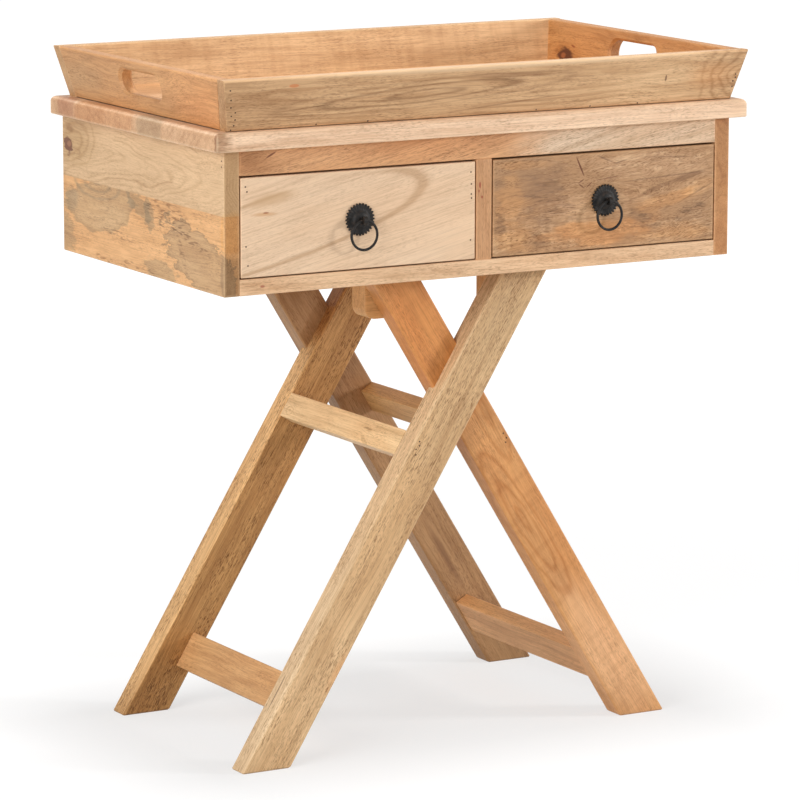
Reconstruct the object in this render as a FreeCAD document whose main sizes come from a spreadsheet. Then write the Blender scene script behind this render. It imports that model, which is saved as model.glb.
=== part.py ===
import FreeCAD, Part
import os
import re
import Sketcher

# Butler's tray table: a loose flared tray on a chest of two drawers, carried by two crossed leg frames.
# Lengths are in millimetres and angles in degrees. +Z is up and the front faces -Y.
# The origin lies on the floor below the middle of the tray.

# Driving dimensions, one cell each
driving = {
    # Stand
    "stand_height": 519,
    "stand_setback": 28,
    "stand_shift": -7,
    "stand_rear_setback": 25,
    "crossing_drop": 126,
    "leg_splay": 31.6,
    "leg_width": 49.2,
    "leg_thickness": 28,
    "lap_depth": 6,
    "leg_round": 2.5,
    "foot_ease": 1.5,
    "upper_stretcher_width": 29,
    "upper_stretcher_thickness": 18,
    "upper_stretcher_drop": 68,
    "lower_stretcher_width": 42,
    "lower_stretcher_thickness": 17,
    "lower_stretcher_drop": 357,
    "lower_stretcher_inset": 2,
    "ear_width": 50,
    "ear_height": 50,
    "ear_thickness": 28,
    "ear_round": 12,
    "ear_tuck": 5,
    # Fasteners of the stand
    "bolt_radius": 4,
    "bolt_bite": 20,
    "cross_bolt_bite": 12,
    "bolt_head_radius": 8,
    "bolt_head_height": 4,
    "bore_clearance": 0.05,
    # Chest
    "chest_width": 622,
    "chest_depth": 384,
    "chest_height": 152,
    "side_thickness": 18,
    "bottom_thickness": 17,
    "back_thickness": 10,
    "partition_thickness": 19,
    "rail_height": 27,
    "rail_thickness": 18,
    "top_thickness": 20,
    "top_side_overhang": 14,
    "top_front_overhang": 12.5,
    "top_round": 6,
    "top_underside_round": 1.5,
    "edge_ease": 0.7,
    # Drawers
    "drawer_gap": 1.6,
    "drawer_top_gap": 2.2,
    "drawer_run_gap": 0.3,
    "front_thickness": 18,
    "drawer_back_clearance": 16,
    "drawer_side_height": 84,
    "drawer_side_thickness": 11,
    "drawer_back_thickness": 11,
    "drawer_bottom_thickness": 5,
    "groove_depth": 5,
    "groove_rise": 8,
    "groove_clearance": 0.1,
    # Pulls
    "rosette_radius": 17.5,
    "rosette_rim_thickness": 2,
    "rosette_rim_width": 2.5,
    "rosette_shoulder_radius": 9,
    "rosette_shoulder_height": 4.9,
    "rosette_height": 6,
    "tooth_count": 28,
    "tooth_depth": 1.5,
    "tooth_gap": 2.6,
    "eye_radius": 4.2,
    "eye_thickness": 4.5,
    "eye_hole_clearance": 0.4,
    "shank_radius": 2,
    "nut_radius": 4.6,
    "nut_thickness": 4,
    "shank_end": 1.5,
    "ring_radius": 15.5,
    "ring_wire_radius": 1.5,
    # Tray
    "tray_length_margin": 4,
    "tray_depth_margin": 12,
    "tray_height": 55,
    "tray_wall": 16,
    "tray_end_flare": 12,
    "tray_long_flare": 17,
    "tray_floor_thickness": 10,
    "tray_set_forward": 10,
    "tray_rim_round": 2.5,
    "slot_length": 95,
    "slot_height": 26,
    "slot_drop": 24,
    "slot_ease": 3,
    # One overrun for every cut that has to pass a face
    "cut_overrun": 30,
}

# Values worked out from the driving dimensions
worked_out = {
    "chest_front": "tray_set_forward - chest_depth / 2",
    "chest_back": "tray_set_forward + chest_depth / 2",
    "chest_inner_width": "chest_width - 2 * side_thickness",
    "chest_floor": "stand_height + bottom_thickness",
    "chest_top": "stand_height + chest_height",
    "tray_base": "chest_top + top_thickness",
    "opening_width": "(chest_inner_width - partition_thickness) / 2",
    "opening_height": "chest_height - bottom_thickness - rail_height",
    "opening_centre": "(opening_width + partition_thickness) / 2",
    "crossing_level": "stand_height - crossing_drop",
    "leg_half_span": "leg_width / 2 / cos(leg_splay)",
    "lap_reach": "leg_width / sin(leg_splay)",
    "leg_top_offset": "crossing_drop * tan(leg_splay)",
    "leg_foot_offset": "crossing_level * tan(leg_splay)",
    "front_leg_face": "chest_front + stand_setback",
    "inner_frame_face": "front_leg_face + leg_thickness - 2 * lap_depth",
    "frame_spacing": "chest_depth - stand_setback - stand_rear_setback - 2 * (leg_thickness - lap_depth)",
    "stretcher_length": "frame_spacing - leg_thickness",
    "ear_offset": "leg_top_offset - ear_tuck",
    "ear_bolt_level": "stand_height - ear_height / 2",
    "bolt_bore_radius": "bolt_radius + bore_clearance",
    "front_width": "opening_width - 2 * drawer_gap",
    "front_height": "opening_height - drawer_gap - drawer_top_gap",
    "front_base": "chest_floor + drawer_gap",
    "drawer_back_face": "chest_front + front_thickness",
    "drawer_length": "chest_depth - front_thickness - back_thickness - drawer_back_clearance",
    "drawer_base": "chest_floor + drawer_run_gap",
    "drawer_inner_width": "front_width - 2 * drawer_side_thickness",
    "drawer_floor_top": "groove_rise + drawer_bottom_thickness",
    "drawer_bottom_width": "drawer_inner_width + 2 * groove_depth - 2 * groove_clearance",
    "groove_height": "drawer_bottom_thickness + groove_clearance",
    "pull_level": "front_base + front_height / 2",
    "shank_bore_radius": "shank_radius + bore_clearance",
    "eye_reach": "rosette_height + eye_radius + bore_clearance",
    "eye_hole_radius": "ring_wire_radius + eye_hole_clearance",
    "rosette_step_radius": "rosette_radius - rosette_rim_width",
    "tray_half_length": "(chest_width - tray_length_margin) / 2",
    "tray_half_depth": "(chest_depth - tray_depth_margin) / 2",
    "tray_end_lean": "tray_end_flare / tray_height",
    "tray_long_lean": "tray_long_flare / tray_height",
    "slot_level": "tray_height - slot_drop",
    "slot_straight": "slot_length - slot_height",
}

document = FreeCAD.newDocument("tray_table")
sizes = document.addObject("Spreadsheet::Sheet", "Sizes")
cells = {alias: str(value) for alias, value in driving.items()}
cells.update({alias: "=" + formula for alias, formula in worked_out.items()})
for row, (alias, content) in enumerate(cells.items(), start=1):
    sizes.set(f"A{row}", alias)
    sizes.set(f"B{row}", content)
    sizes.setAlias(f"B{row}", alias)
document.recompute()

nodes = []
turn_to_front = FreeCAD.Rotation(FreeCAD.Vector(1, 0, 0), 90)
turn_to_back = FreeCAD.Rotation(FreeCAD.Vector(1, 0, 0), -90)
turn_to_right = FreeCAD.Rotation(FreeCAD.Vector(0, 1, 0), 90)
along_x = FreeCAD.Vector(1, 0, 0)
along_y = FreeCAD.Vector(0, 1, 0)


def linked(formula):
    """The formula with each size name pointing at its cell in the sheet."""
    return re.sub(r"[a-z][a-z_]+", lambda word: "Sizes." + word[0] if word[0] in cells else word[0], formula)


def value(formula):
    """The present value of a formula, for first guesses and for picking edges."""
    return float(sizes.evalExpression(formula))


def bind(item, formulas):
    """Tie properties of an item to formulas of the sheet."""
    for name, formula in formulas.items():
        item.setExpression(name, linked(formula))


def place(item, corner, rotation=None):
    """Put an item at a point given by three formulas."""
    if rotation:
        item.Placement = FreeCAD.Placement(FreeCAD.Vector(), rotation)
    bind(item, {f"Placement.Base.{axis}": formula for axis, formula in zip("xyz", corner)})


def new_body(label, node=True):
    """An empty body; one that is a piece by itself is listed for export."""
    body = document.addObject("PartDesign::Body", label)
    body.Label = label
    if node:
        nodes.append(body)
    return body


def sketch_on(body, role, level="0"):
    """A sketch on one of the body's own origin planes, raised by level."""
    plane = next(feature for feature in body.Origin.OriginFeatures if feature.Role == role)
    sketch = body.newObject("Sketcher::SketchObject", "Outline")
    sketch.AttachmentSupport = [(plane, "")]
    sketch.MapMode = "FlatFace"
    bind(sketch, {"AttachmentOffset.Base.z": level})
    return sketch


def dimension(sketch, geometry, point, across, up):
    """Dimension one point of a sketch from the sketch's origin."""
    for kind, formula in (("DistanceX", across), ("DistanceY", up)):
        index = sketch.addConstraint(Sketcher.Constraint(kind, -1, 1, geometry, point, value(formula)))
        bind(sketch, {f"Constraints[{index}]": formula})


def polygon(sketch, corners):
    """A closed outline of straight lines through corners given as pairs of formulas."""
    points = [FreeCAD.Vector(value(across), value(up), 0) for across, up in corners]
    count = len(corners)
    for start in range(count):
        sketch.addGeometry(Part.LineSegment(points[start], points[(start + 1) % count]), False)
    for start in range(count):
        sketch.addConstraint(Sketcher.Constraint("Coincident", start, 2, (start + 1) % count, 1))
    for start, (across, up) in enumerate(corners):
        dimension(sketch, start, 1, across, up)


def rectangle(sketch, left, right, low, high):
    """A rectangle between four formulas."""
    polygon(sketch, [(left, low), (right, low), (right, high), (left, high)])


def pad(body, sketch, length, reverse=False):
    """Pad a sketch."""
    feature = body.newObject("PartDesign::Pad", "Pad")
    feature.Profile = sketch
    feature.Reversed = reverse
    bind(feature, {"Length": length})
    return feature


def cylinder(body, kind, radius, length, corner, rotation=None):
    """An additive or subtractive cylinder that starts at a point and runs along its turned Z."""
    feature = body.newObject(f"PartDesign::{kind}Cylinder", f"{kind}Cylinder")
    bind(feature, {"Radius": radius, "Height": length})
    place(feature, corner, rotation)
    return feature


def hexagon(body, radius, height, corner):
    """A six-sided prism for a bolt head or a nut."""
    feature = body.newObject("PartDesign::AdditivePrism", "Hexagon")
    feature.Polygon = 6
    bind(feature, {"Circumradius": radius, "Height": height})
    place(feature, corner)
    return feature


def cut_box(body, size, corner):
    """Cut a box away from a body."""
    feature = body.newObject("PartDesign::SubtractiveBox", "Cut")
    bind(feature, dict(zip(("Length", "Width", "Height"), size)))
    place(feature, corner)
    return feature


def soften(body, kind, size, wanted):
    """Fillet or chamfer those edges of the body that pass a test."""
    document.recompute()
    base = body.Tip
    names = [f"Edge{index}" for index, edge in enumerate(base.Shape.Edges, start=1) if wanted(edge)]
    feature = body.newObject(f"PartDesign::{kind}", kind)
    feature.Base = (base, names)
    bind(feature, {"Radius" if kind == "Fillet" else "Size": size})
    return feature


def level_edge(edge, level):
    """True for an edge that lies wholly at one height."""
    return all(abs(vertex.Z - level) < Part.Precision.confusion() for vertex in edge.Vertexes)


def runs_along(edge, direction):
    """True for a straight edge that runs along a direction."""
    straight = isinstance(edge.Curve, Part.Line)
    return straight and edge.Curve.Direction.cross(direction).Length < Part.Precision.confusion()


def board(label, size, seat):
    """A planed board with eased edges; seat is the middle of its underside."""
    along, deep, high = size
    body = new_body(label)
    outline = sketch_on(body, "XY_Plane")
    rectangle(outline, f"-({along}) / 2", f"({along}) / 2", f"-({deep}) / 2", f"({deep}) / 2")
    pad(body, outline, high)
    soften(body, "Chamfer", "edge_ease", lambda edge: True)
    place(body, seat)
    return body


# Chest

chest_middle = "tray_set_forward"
for name, sign in (("left", "-"), ("right", "")):
    board(f"{name}_side", ("side_thickness", "chest_depth", "chest_height"),
          (f"{sign}(chest_width - side_thickness) / 2", chest_middle, "stand_height"))

board("bottom_panel", ("chest_inner_width", "chest_depth", "bottom_thickness"), ("0", chest_middle, "stand_height"))
board("back_panel", ("chest_inner_width", "back_thickness", "chest_height - bottom_thickness"),
      ("0", "chest_back - back_thickness / 2", "chest_floor"))
board("top_rail", ("chest_inner_width", "rail_thickness", "rail_height"),
      ("0", "chest_front + rail_thickness / 2", "chest_top - rail_height"))
board("drawer_partition", ("partition_thickness", "chest_depth - back_thickness", "opening_height"),
      ("0", f"{chest_middle} - back_thickness / 2", "chest_floor"))

top_panel = new_body("top_panel")
top_outline = sketch_on(top_panel, "XY_Plane")
rectangle(top_outline, "-chest_width / 2 - top_side_overhang", "chest_width / 2 + top_side_overhang",
          "chest_front - top_front_overhang", "chest_back")
pad(top_panel, top_outline, "top_thickness")
soften(top_panel, "Fillet", "top_round", lambda edge: level_edge(edge, value("top_thickness")))
soften(top_panel, "Fillet", "top_underside_round", lambda edge: level_edge(edge, 0))
place(top_panel, ("0", "0", "chest_top"))


# Stand: the left frame has its feet on the left and leans to the right, the right frame the other way round.
# Both frames have a front and a rear leg. The right frame lies behind the left one, and where two legs cross,
# each is notched, so that they lap into each other.

def leg(label, lean, face, notch):
    """One leg, cut level at the floor and at the chest; lean is + or -, face its front plane.

    The notch starts behind the front plane and takes the crossing leg, so it is as wide as that leg.
    """
    body = new_body(label)
    outline = sketch_on(body, "XZ_Plane")
    foot = f"{lean}(-leg_foot_offset)"
    head = f"{lean}leg_top_offset"
    polygon(outline, [(f"{foot} - leg_half_span", "-crossing_level"),
                      (f"{foot} + leg_half_span", "-crossing_level"),
                      (f"{head} + leg_half_span", "crossing_drop"),
                      (f"{head} - leg_half_span", "crossing_drop")])
    pad(body, outline, "leg_thickness", reverse=True)
    along = FreeCAD.Vector(value(f"{lean}sin(leg_splay)"), 0, value("cos(leg_splay)"))
    soften(body, "Fillet", "leg_round", lambda edge: runs_along(edge, along))
    soften(body, "Chamfer", "foot_ease", lambda edge: level_edge(edge, -value("crossing_level")))
    lap_outline = sketch_on(body, "XZ_Plane", f"-({notch})")
    other_foot = f"{lean}2 * leg_half_span"
    polygon(lap_outline, [(f"{other_foot} - leg_half_span", "-lap_reach"),
                          (f"{other_foot} + leg_half_span", "-lap_reach"),
                          (f"-({other_foot}) + leg_half_span", "lap_reach"),
                          (f"-({other_foot}) - leg_half_span", "lap_reach")])
    lap = body.newObject("PartDesign::Pocket", "Lap")
    lap.Profile = lap_outline
    bind(lap, {"Length": "lap_depth + cut_overrun"})
    place(body, ("stand_shift", face, "crossing_level"))
    return body


def stretcher(label, lean, face, low, high, width, drop):
    """A rail between the legs of one frame, from low to high across the leg and drop down it."""
    body = new_body(label)
    outward = "-" if lean == "+" else "+"
    outline = sketch_on(body, "XZ_Plane")
    rectangle(outline, f"{outward}({low})", f"{outward}({high})", f"-({drop}) - ({width})", f"-({drop})")
    pad(body, outline, "stretcher_length", reverse=True)
    soften(body, "Chamfer", "edge_ease", lambda edge: True)
    axis = FreeCAD.Vector(0, 1 if lean == "+" else -1, 0)
    place(body, ("stand_shift", face, "crossing_level"), FreeCAD.Rotation(axis, value("leg_splay")))
    bind(body, {"Placement.Rotation.Angle": "leg_splay"})
    return body


def ear(label, lean, face):
    """A block under the chest beside the top of a leg, with its lower corners rounded."""
    body = new_body(label)
    outline = sketch_on(body, "XZ_Plane")
    rectangle(outline, "-ear_width / 2", "ear_width / 2", "-ear_height", "0")
    pad(body, outline, "ear_thickness", reverse=True)
    soften(body, "Fillet", "ear_round",
           lambda edge: runs_along(edge, along_y) and level_edge(edge, -value("ear_height")))
    place(body, (f"stand_shift {lean} ear_offset", face, "stand_height"))
    return body


def group(label, bodies):
    """Identical fasteners as one piece of several solids."""
    item = document.addObject("Part::Compound", label)
    item.Label = label
    item.Links = bodies
    nodes.append(item)


def bolt(label, through, bite, seat, rotation):
    """A hexagon bolt whose head sits on seat and whose shank passes one piece and bites the next."""
    body = new_body(label, node=False)
    shank = f"{through} + {bite}"
    cylinder(body, "Additive", "bolt_radius", shank, ("0", "0", f"-({shank})"))
    hexagon(body, "bolt_head_radius", "bolt_head_height", ("0", "0", "0"))
    place(body, seat, rotation)
    return body


def bore_leg(body, across, level, start, length):
    """A bolt bore in a leg, in the leg's own frame, with its origin at the crossing on the front face."""
    cylinder(body, "Subtractive", "bolt_bore_radius", length, (across, start, level), turn_to_back)


blind_from_rear = ("leg_thickness - bolt_bite", "bolt_bite + cut_overrun")
blind_from_front = ("-cut_overrun", "bolt_bite + cut_overrun")
right_through = ("-cut_overrun", "leg_thickness + 2 * cut_overrun")
lapped_leg = "leg_thickness - lap_depth"
blind_at_lap = (f"{lapped_leg} - cross_bolt_bite", "lap_depth + cross_bolt_bite + cut_overrun")
ear_bolts = []
for name, lean, face, notch, crossing in (
        ("left", "+", "front_leg_face", lapped_leg, blind_at_lap),
        ("right", "-", "inner_frame_face", "-cut_overrun", right_through)):
    for end, leg_face, ear_face, blind, head_face, rotation in (
            ("front", face, f"{face} + leg_thickness", blind_from_rear, "ear_thickness", turn_to_back),
            ("rear", f"{face} + frame_spacing", f"{face} + frame_spacing - ear_thickness", blind_from_front,
             "0", turn_to_front)):
        leg_body = leg(f"{name}_{end}_leg", lean, leg_face, notch)
        bore_leg(leg_body, "0", "0", *crossing)
        bore_leg(leg_body, f"{lean}ear_offset", "crossing_drop - ear_height / 2", *blind)

        ear_body = ear(f"{name}_{end}_ear", lean, ear_face)
        cylinder(ear_body, "Subtractive", "bolt_bore_radius", "ear_thickness + 2 * cut_overrun",
                 ("0", "-cut_overrun", "-ear_height / 2"), turn_to_back)
        ear_middle = f"stand_shift {lean} ear_offset"
        ear_bolts.append(bolt(f"{name}_{end}_ear_bolt", "ear_thickness", "bolt_bite",
                              (ear_middle, f"{ear_face} + {head_face}", "ear_bolt_level"), rotation))

    stretcher(f"{name}_upper_stretcher", lean, f"{face} + leg_thickness",
              "leg_width / 2 - upper_stretcher_thickness", "leg_width / 2",
              "upper_stretcher_width", "upper_stretcher_drop")
    stretcher(f"{name}_lower_stretcher", lean, f"{face} + leg_thickness",
              "lower_stretcher_inset - leg_width / 2",
              "lower_stretcher_inset + lower_stretcher_thickness - leg_width / 2",
              "lower_stretcher_width", "lower_stretcher_drop")

group("ear_bolts", ear_bolts)
group("cross_bolts", [
    bolt(f"{end}_cross_bolt", lapped_leg, "cross_bolt_bite",
         ("stand_shift", f"inner_frame_face + leg_thickness + {setback}", "crossing_level"), turn_to_back)
    for end, setback in (("front", "0"), ("rear", "frame_spacing"))])


# Drawers

def drawer_box(name, middle):
    """Front, sides, back and bottom of one drawer; the bottom slides in grooves of the sides."""
    front = board(f"{name}_drawer_front", ("front_width", "front_thickness", "front_height"),
                  (middle, "chest_front + front_thickness / 2", "front_base"))
    cylinder(front, "Subtractive", "shank_bore_radius", "front_thickness + 2 * cut_overrun",
             ("0", "-front_thickness / 2 - cut_overrun", "front_height / 2"), turn_to_back)
    for hand, sign, groove_start in (("left", "-", "drawer_side_thickness / 2 - groove_depth"),
                                     ("right", "+", "-drawer_side_thickness / 2 - cut_overrun")):
        side = board(f"{name}_drawer_{hand}_side",
                     ("drawer_side_thickness", "drawer_length", "drawer_side_height"),
                     (f"{middle} {sign} (front_width - drawer_side_thickness) / 2",
                      "drawer_back_face + drawer_length / 2", "drawer_base"))
        cut_box(side, ("groove_depth + cut_overrun", "drawer_length + 2 * cut_overrun", "groove_height"),
                (groove_start, "-drawer_length / 2 - cut_overrun", "groove_rise"))
    board(f"{name}_drawer_back",
          ("drawer_inner_width", "drawer_back_thickness", "drawer_side_height - drawer_floor_top"),
          (middle, "drawer_back_face + drawer_length - drawer_back_thickness / 2",
           "drawer_base + drawer_floor_top"))
    board(f"{name}_drawer_bottom", ("drawer_bottom_width", "drawer_length", "drawer_bottom_thickness"),
          (middle, "drawer_back_face + drawer_length / 2", "drawer_base + groove_rise"))


def turned(body, corners):
    """Turn a closed profile about the body's own Z; corners are pairs of a radius and a height."""
    profile = sketch_on(body, "XZ_Plane")
    polygon(profile, corners)
    feature = body.newObject("PartDesign::Revolution", "Turned")
    feature.Profile = profile
    feature.ReferenceAxis = (profile, ["V_Axis"])
    return feature


def rosette(label, seat):
    """A plate raised in two steps to its middle, with a serrated rim, set facing the front."""
    body = new_body(label)
    turned(body, [("shank_bore_radius", "0"), ("rosette_radius", "0"), ("rosette_radius", "rosette_rim_thickness"),
                  ("rosette_step_radius", "rosette_rim_thickness"),
                  ("rosette_shoulder_radius", "rosette_shoulder_height"), ("shank_bore_radius", "rosette_height")])
    gap = sketch_on(body, "XY_Plane")
    polygon(gap, [("rosette_radius - tooth_depth", "0"), ("rosette_radius + tooth_depth", "-tooth_gap"),
                  ("rosette_radius + tooth_depth", "tooth_gap")])
    notch = body.newObject("PartDesign::Pocket", "Notch")
    notch.Profile = gap
    notch.Type = "ThroughAll"
    notch.Midplane = True
    teeth = body.newObject("PartDesign::PolarPattern", "Teeth")
    teeth.Originals = [notch]
    teeth.Axis = (next(feature for feature in body.Origin.OriginFeatures if feature.Role == "Z_Axis"), [""])
    bind(teeth, {"Occurrences": "tooth_count"})
    body.Tip = teeth
    place(body, seat, turn_to_front)


def eye(label, seat):
    """A shank through the drawer front that ends in an eye for the ring."""
    body = new_body(label)
    tail = "front_thickness + nut_thickness + shank_end"
    cylinder(body, "Additive", "shank_radius", f"{tail} + eye_reach", ("0", "0", f"-({tail})"))
    cylinder(body, "Additive", "eye_radius", "eye_thickness", ("-eye_thickness / 2", "0", "eye_reach"), turn_to_right)
    cylinder(body, "Subtractive", "eye_hole_radius", "eye_thickness + 2 * cut_overrun",
             ("-eye_thickness / 2 - cut_overrun", "0", "eye_reach"), turn_to_right)
    place(body, seat, turn_to_front)


def nut(label, seat):
    """The hexagon nut that draws the eye tight from inside the drawer."""
    body = new_body(label)
    hexagon(body, "nut_radius", "nut_thickness", ("0", "0", "-front_thickness - nut_thickness"))
    cylinder(body, "Subtractive", "shank_bore_radius", "front_thickness + nut_thickness + cut_overrun",
             ("0", "0", "-front_thickness - nut_thickness - cut_overrun"))
    place(body, seat, turn_to_front)


def ring(label, middle):
    """A forged ring, eight-sided in section, that hangs from the eye."""
    body = new_body(label)
    flats = [f"{side} * {full_turn} / {wire_sides}" for side in range(wire_sides)]
    turned(body, [(f"ring_radius + ring_wire_radius * cos({flat})", f"ring_wire_radius * sin({flat})")
                  for flat in flats])
    place(body, (middle, "chest_front - eye_reach", "pull_level - ring_radius"), turn_to_front)


wire_sides = 8
full_turn = 360
for name, sign in (("left", "-"), ("right", "+")):
    middle = f"{sign}opening_centre"
    pull_seat = (middle, "chest_front", "pull_level")
    drawer_box(name, middle)
    rosette(f"{name}_rosette", pull_seat)
    eye(f"{name}_eye", pull_seat)
    nut(f"{name}_nut", pull_seat)
    ring(f"{name}_ring", middle)


# Tray: four leaning boards round a bevelled floor. The front and back run the whole length and cover the ends.

def leaning_board(label, sign, section_plane, end_plane, foot, rim, foot_end, rim_end, end_lean):
    """A board whose leaning section is padded along it, and whose ends are then cut to lean as well.

    foot and rim are the outer reach of the section at its two levels, foot_end and rim_end those of its ends.
    """
    body = new_body(label)
    section = sketch_on(body, section_plane, f"-({rim_end})")
    polygon(section, [(f"{sign}({foot} - tray_wall)", "0"), (f"{sign}({foot})", "0"),
                      (f"{sign}({rim})", "tray_height"), (f"{sign}({rim} - tray_wall)", "tray_height")])
    pad(body, section, f"2 * ({rim_end})")
    for end in "-+":
        waste = sketch_on(body, end_plane)
        far = f"{end}({rim_end} + {end_lean} * cut_overrun)"
        polygon(waste, [(f"{end}({foot_end} - {end_lean} * cut_overrun)", "-cut_overrun"),
                        (far, "tray_height + cut_overrun"), (far, "-cut_overrun")])
        pocket = body.newObject("PartDesign::Pocket", "EndCut")
        pocket.Profile = waste
        pocket.Type = "ThroughAll"
        pocket.Midplane = True
    place(body, ("0", "0", "tray_base"))
    return body


def exposed(edge, direction, half):
    """True for a long edge of a wall, but not for the inner lower one, where the floor meets the wall."""
    if not runs_along(edge, direction):
        return False
    offset = abs(edge.Vertexes[0].Point.dot(direction.cross(FreeCAD.Vector(0, 0, 1))))
    return not (level_edge(edge, 0) and offset < half - Part.Precision.confusion())


def steep_edge(edge):
    """True for the straight edges that climb most of the way up a wall."""
    rise = abs(edge.Vertexes[0].Z - edge.Vertexes[-1].Z)
    return isinstance(edge.Curve, Part.Line) and rise > value("tray_height") / 2


def slot_edge(edge):
    """True for the edges where a handle slot breaks through the faces of its wall."""
    reach_y = value("slot_length") / 2 + Part.Precision.confusion()
    reach_z = value("slot_height") / 2 + Part.Precision.confusion()
    inside = all(abs(vertex.Y) < reach_y and abs(vertex.Z - value("slot_level")) < reach_z
                 for vertex in edge.Vertexes)
    return inside and not runs_along(edge, along_x)


rim_half_length = "tray_half_length + tray_end_flare"
rim_half_depth = "tray_half_depth + tray_long_flare"
floor_half_length = "tray_half_length - tray_wall"
floor_half_depth = "tray_half_depth - tray_wall"

tray_floor = new_body("tray_floor")
floor_sections = []
for level, spread in (("0", "0"), ("tray_floor_thickness", "tray_floor_thickness")):
    reach_x = f"({floor_half_length} + tray_end_lean * {spread})"
    reach_y = f"({floor_half_depth} + tray_long_lean * {spread})"
    section = sketch_on(tray_floor, "XY_Plane", level)
    rectangle(section, f"-{reach_x}", reach_x, f"-{reach_y}", reach_y)
    floor_sections.append(section)
bevel = tray_floor.newObject("PartDesign::AdditiveLoft", "Bevel")
bevel.Profile = floor_sections[0]
bevel.Sections = floor_sections[1:]
bevel.Ruled = True
place(tray_floor, ("0", "0", "tray_base"))

for name, sign in (("front", "-"), ("back", "+")):
    wall = leaning_board(f"tray_{name}_wall", sign, "YZ_Plane", "XZ_Plane", "tray_half_depth", rim_half_depth,
                         "tray_half_length", rim_half_length, "tray_end_lean")
    soften(wall, "Chamfer", "edge_ease", steep_edge)
    soften(wall, "Fillet", "tray_rim_round", lambda edge: exposed(edge, along_x, value("tray_half_depth")))

for name, sign, cut_start in (("left", "-", f"-({rim_half_length}) - cut_overrun"),
                              ("right", "+", "tray_half_length - tray_wall - cut_overrun")):
    wall = leaning_board(f"tray_{name}_end", sign, "XZ_Plane", "YZ_Plane", "tray_half_length", rim_half_length,
                         floor_half_depth, f"{rim_half_depth} - tray_wall", "tray_long_lean")
    soften(wall, "Fillet", "tray_rim_round", lambda edge: exposed(edge, along_y, value("tray_half_length")))
    cut_length = "tray_wall + tray_end_flare + 2 * cut_overrun"
    cut_box(wall, (cut_length, "slot_straight", "slot_height"),
            (cut_start, "-slot_straight / 2", "slot_level - slot_height / 2"))
    for end in "-+":
        cylinder(wall, "Subtractive", "slot_height / 2", cut_length,
                 (cut_start, f"{end}slot_straight / 2", "slot_level"), turn_to_right)
    soften(wall, "Chamfer", "slot_ease", slot_edge)


# Nothing is written unless every feature came out sound

document.recompute()
for item in document.Objects:
    if "Invalid" in item.State or "Error" in item.State:
        raise RuntimeError(f"{item.Label} failed: {item.State}")
for node in nodes:
    if node.Shape.isNull() or not node.Shape.isValid():
        raise RuntimeError(f"{node.Label} has no sound shape")

os.makedirs("parts", exist_ok=True)
for node in nodes:
    node.Shape.exportStep(f"parts/{node.Label}.step")
    box = node.Shape.BoundBox
    print(f"{node.Label}: {len(node.Shape.Solids)} solid(s), {node.Shape.Volume / 1000:.1f} cm3,"
          f" x {box.XMin:.1f}..{box.XMax:.1f}, y {box.YMin:.1f}..{box.YMax:.1f}, z {box.ZMin:.1f}..{box.ZMax:.1f}")
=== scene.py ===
# %% [markdown]
# A butler's tray table: a loose flared tray on a small chest with two drawers, carried by crossed legs.
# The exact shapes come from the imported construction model, so this lesson is about finish: raw-looking
# hardwood whose every board differs, black iron pulls and small nails. We load the model and keep its
# box, because nothing that is added later may grow past it.

# %% Load the construction model
import math

import bpy
import numpy as np
from mathutils import Euler, Matrix, Vector


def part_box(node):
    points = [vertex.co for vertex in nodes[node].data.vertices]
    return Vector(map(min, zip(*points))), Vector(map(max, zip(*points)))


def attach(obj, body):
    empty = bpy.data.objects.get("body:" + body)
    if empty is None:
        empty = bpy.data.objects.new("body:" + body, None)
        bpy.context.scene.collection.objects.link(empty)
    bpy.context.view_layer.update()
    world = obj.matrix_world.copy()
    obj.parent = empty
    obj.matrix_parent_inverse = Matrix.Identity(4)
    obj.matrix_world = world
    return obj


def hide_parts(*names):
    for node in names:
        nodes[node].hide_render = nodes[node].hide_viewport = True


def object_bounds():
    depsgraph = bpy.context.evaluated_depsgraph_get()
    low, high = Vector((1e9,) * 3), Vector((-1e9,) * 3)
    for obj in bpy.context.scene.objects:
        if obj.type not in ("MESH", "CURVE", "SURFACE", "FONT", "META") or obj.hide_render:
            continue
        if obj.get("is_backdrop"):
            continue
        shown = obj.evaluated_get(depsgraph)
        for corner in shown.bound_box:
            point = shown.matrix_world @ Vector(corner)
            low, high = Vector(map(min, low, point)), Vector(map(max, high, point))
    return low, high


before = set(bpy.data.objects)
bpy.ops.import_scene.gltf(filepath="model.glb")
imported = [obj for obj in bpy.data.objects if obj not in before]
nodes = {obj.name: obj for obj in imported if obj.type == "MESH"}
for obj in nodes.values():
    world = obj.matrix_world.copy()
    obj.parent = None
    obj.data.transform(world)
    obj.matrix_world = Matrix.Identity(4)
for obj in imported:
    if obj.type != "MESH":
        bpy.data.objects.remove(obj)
cad_low, cad_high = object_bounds()
print("boards and fittings:", len(nodes), "box:", list(cad_low), list(cad_high))

# %% [markdown]
# The photograph was taken from far away with a long lens, from the left and a little above. Matching a
# lens is a matter of solving for the few numbers that put the table's corners on their pixels: place, two
# angles, focal length.

# %% Set up the camera
camera_place = (-2.4309, -4.2738, 1.2596)
camera_azimuth = -29.642
camera_elevation = 10.427
camera_roll = 0.08
focal_pixels = 4521.4
image_pixels = 800
sensor_width = 36

lens = bpy.data.cameras.new("long_lens")
lens.sensor_width = sensor_width
lens.lens = focal_pixels / image_pixels * sensor_width
camera = bpy.data.objects.new("camera", lens)
camera.location = camera_place
aim = Euler((math.radians(90 - camera_elevation), 0, math.radians(camera_azimuth))).to_matrix()
camera.rotation_euler = (aim @ Matrix.Rotation(math.radians(camera_roll), 3, "Z")).to_euler()
bpy.context.scene.collection.objects.link(camera)
bpy.context.scene.camera = camera
print("lens in millimetres:", round(lens.lens, 1))

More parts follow.
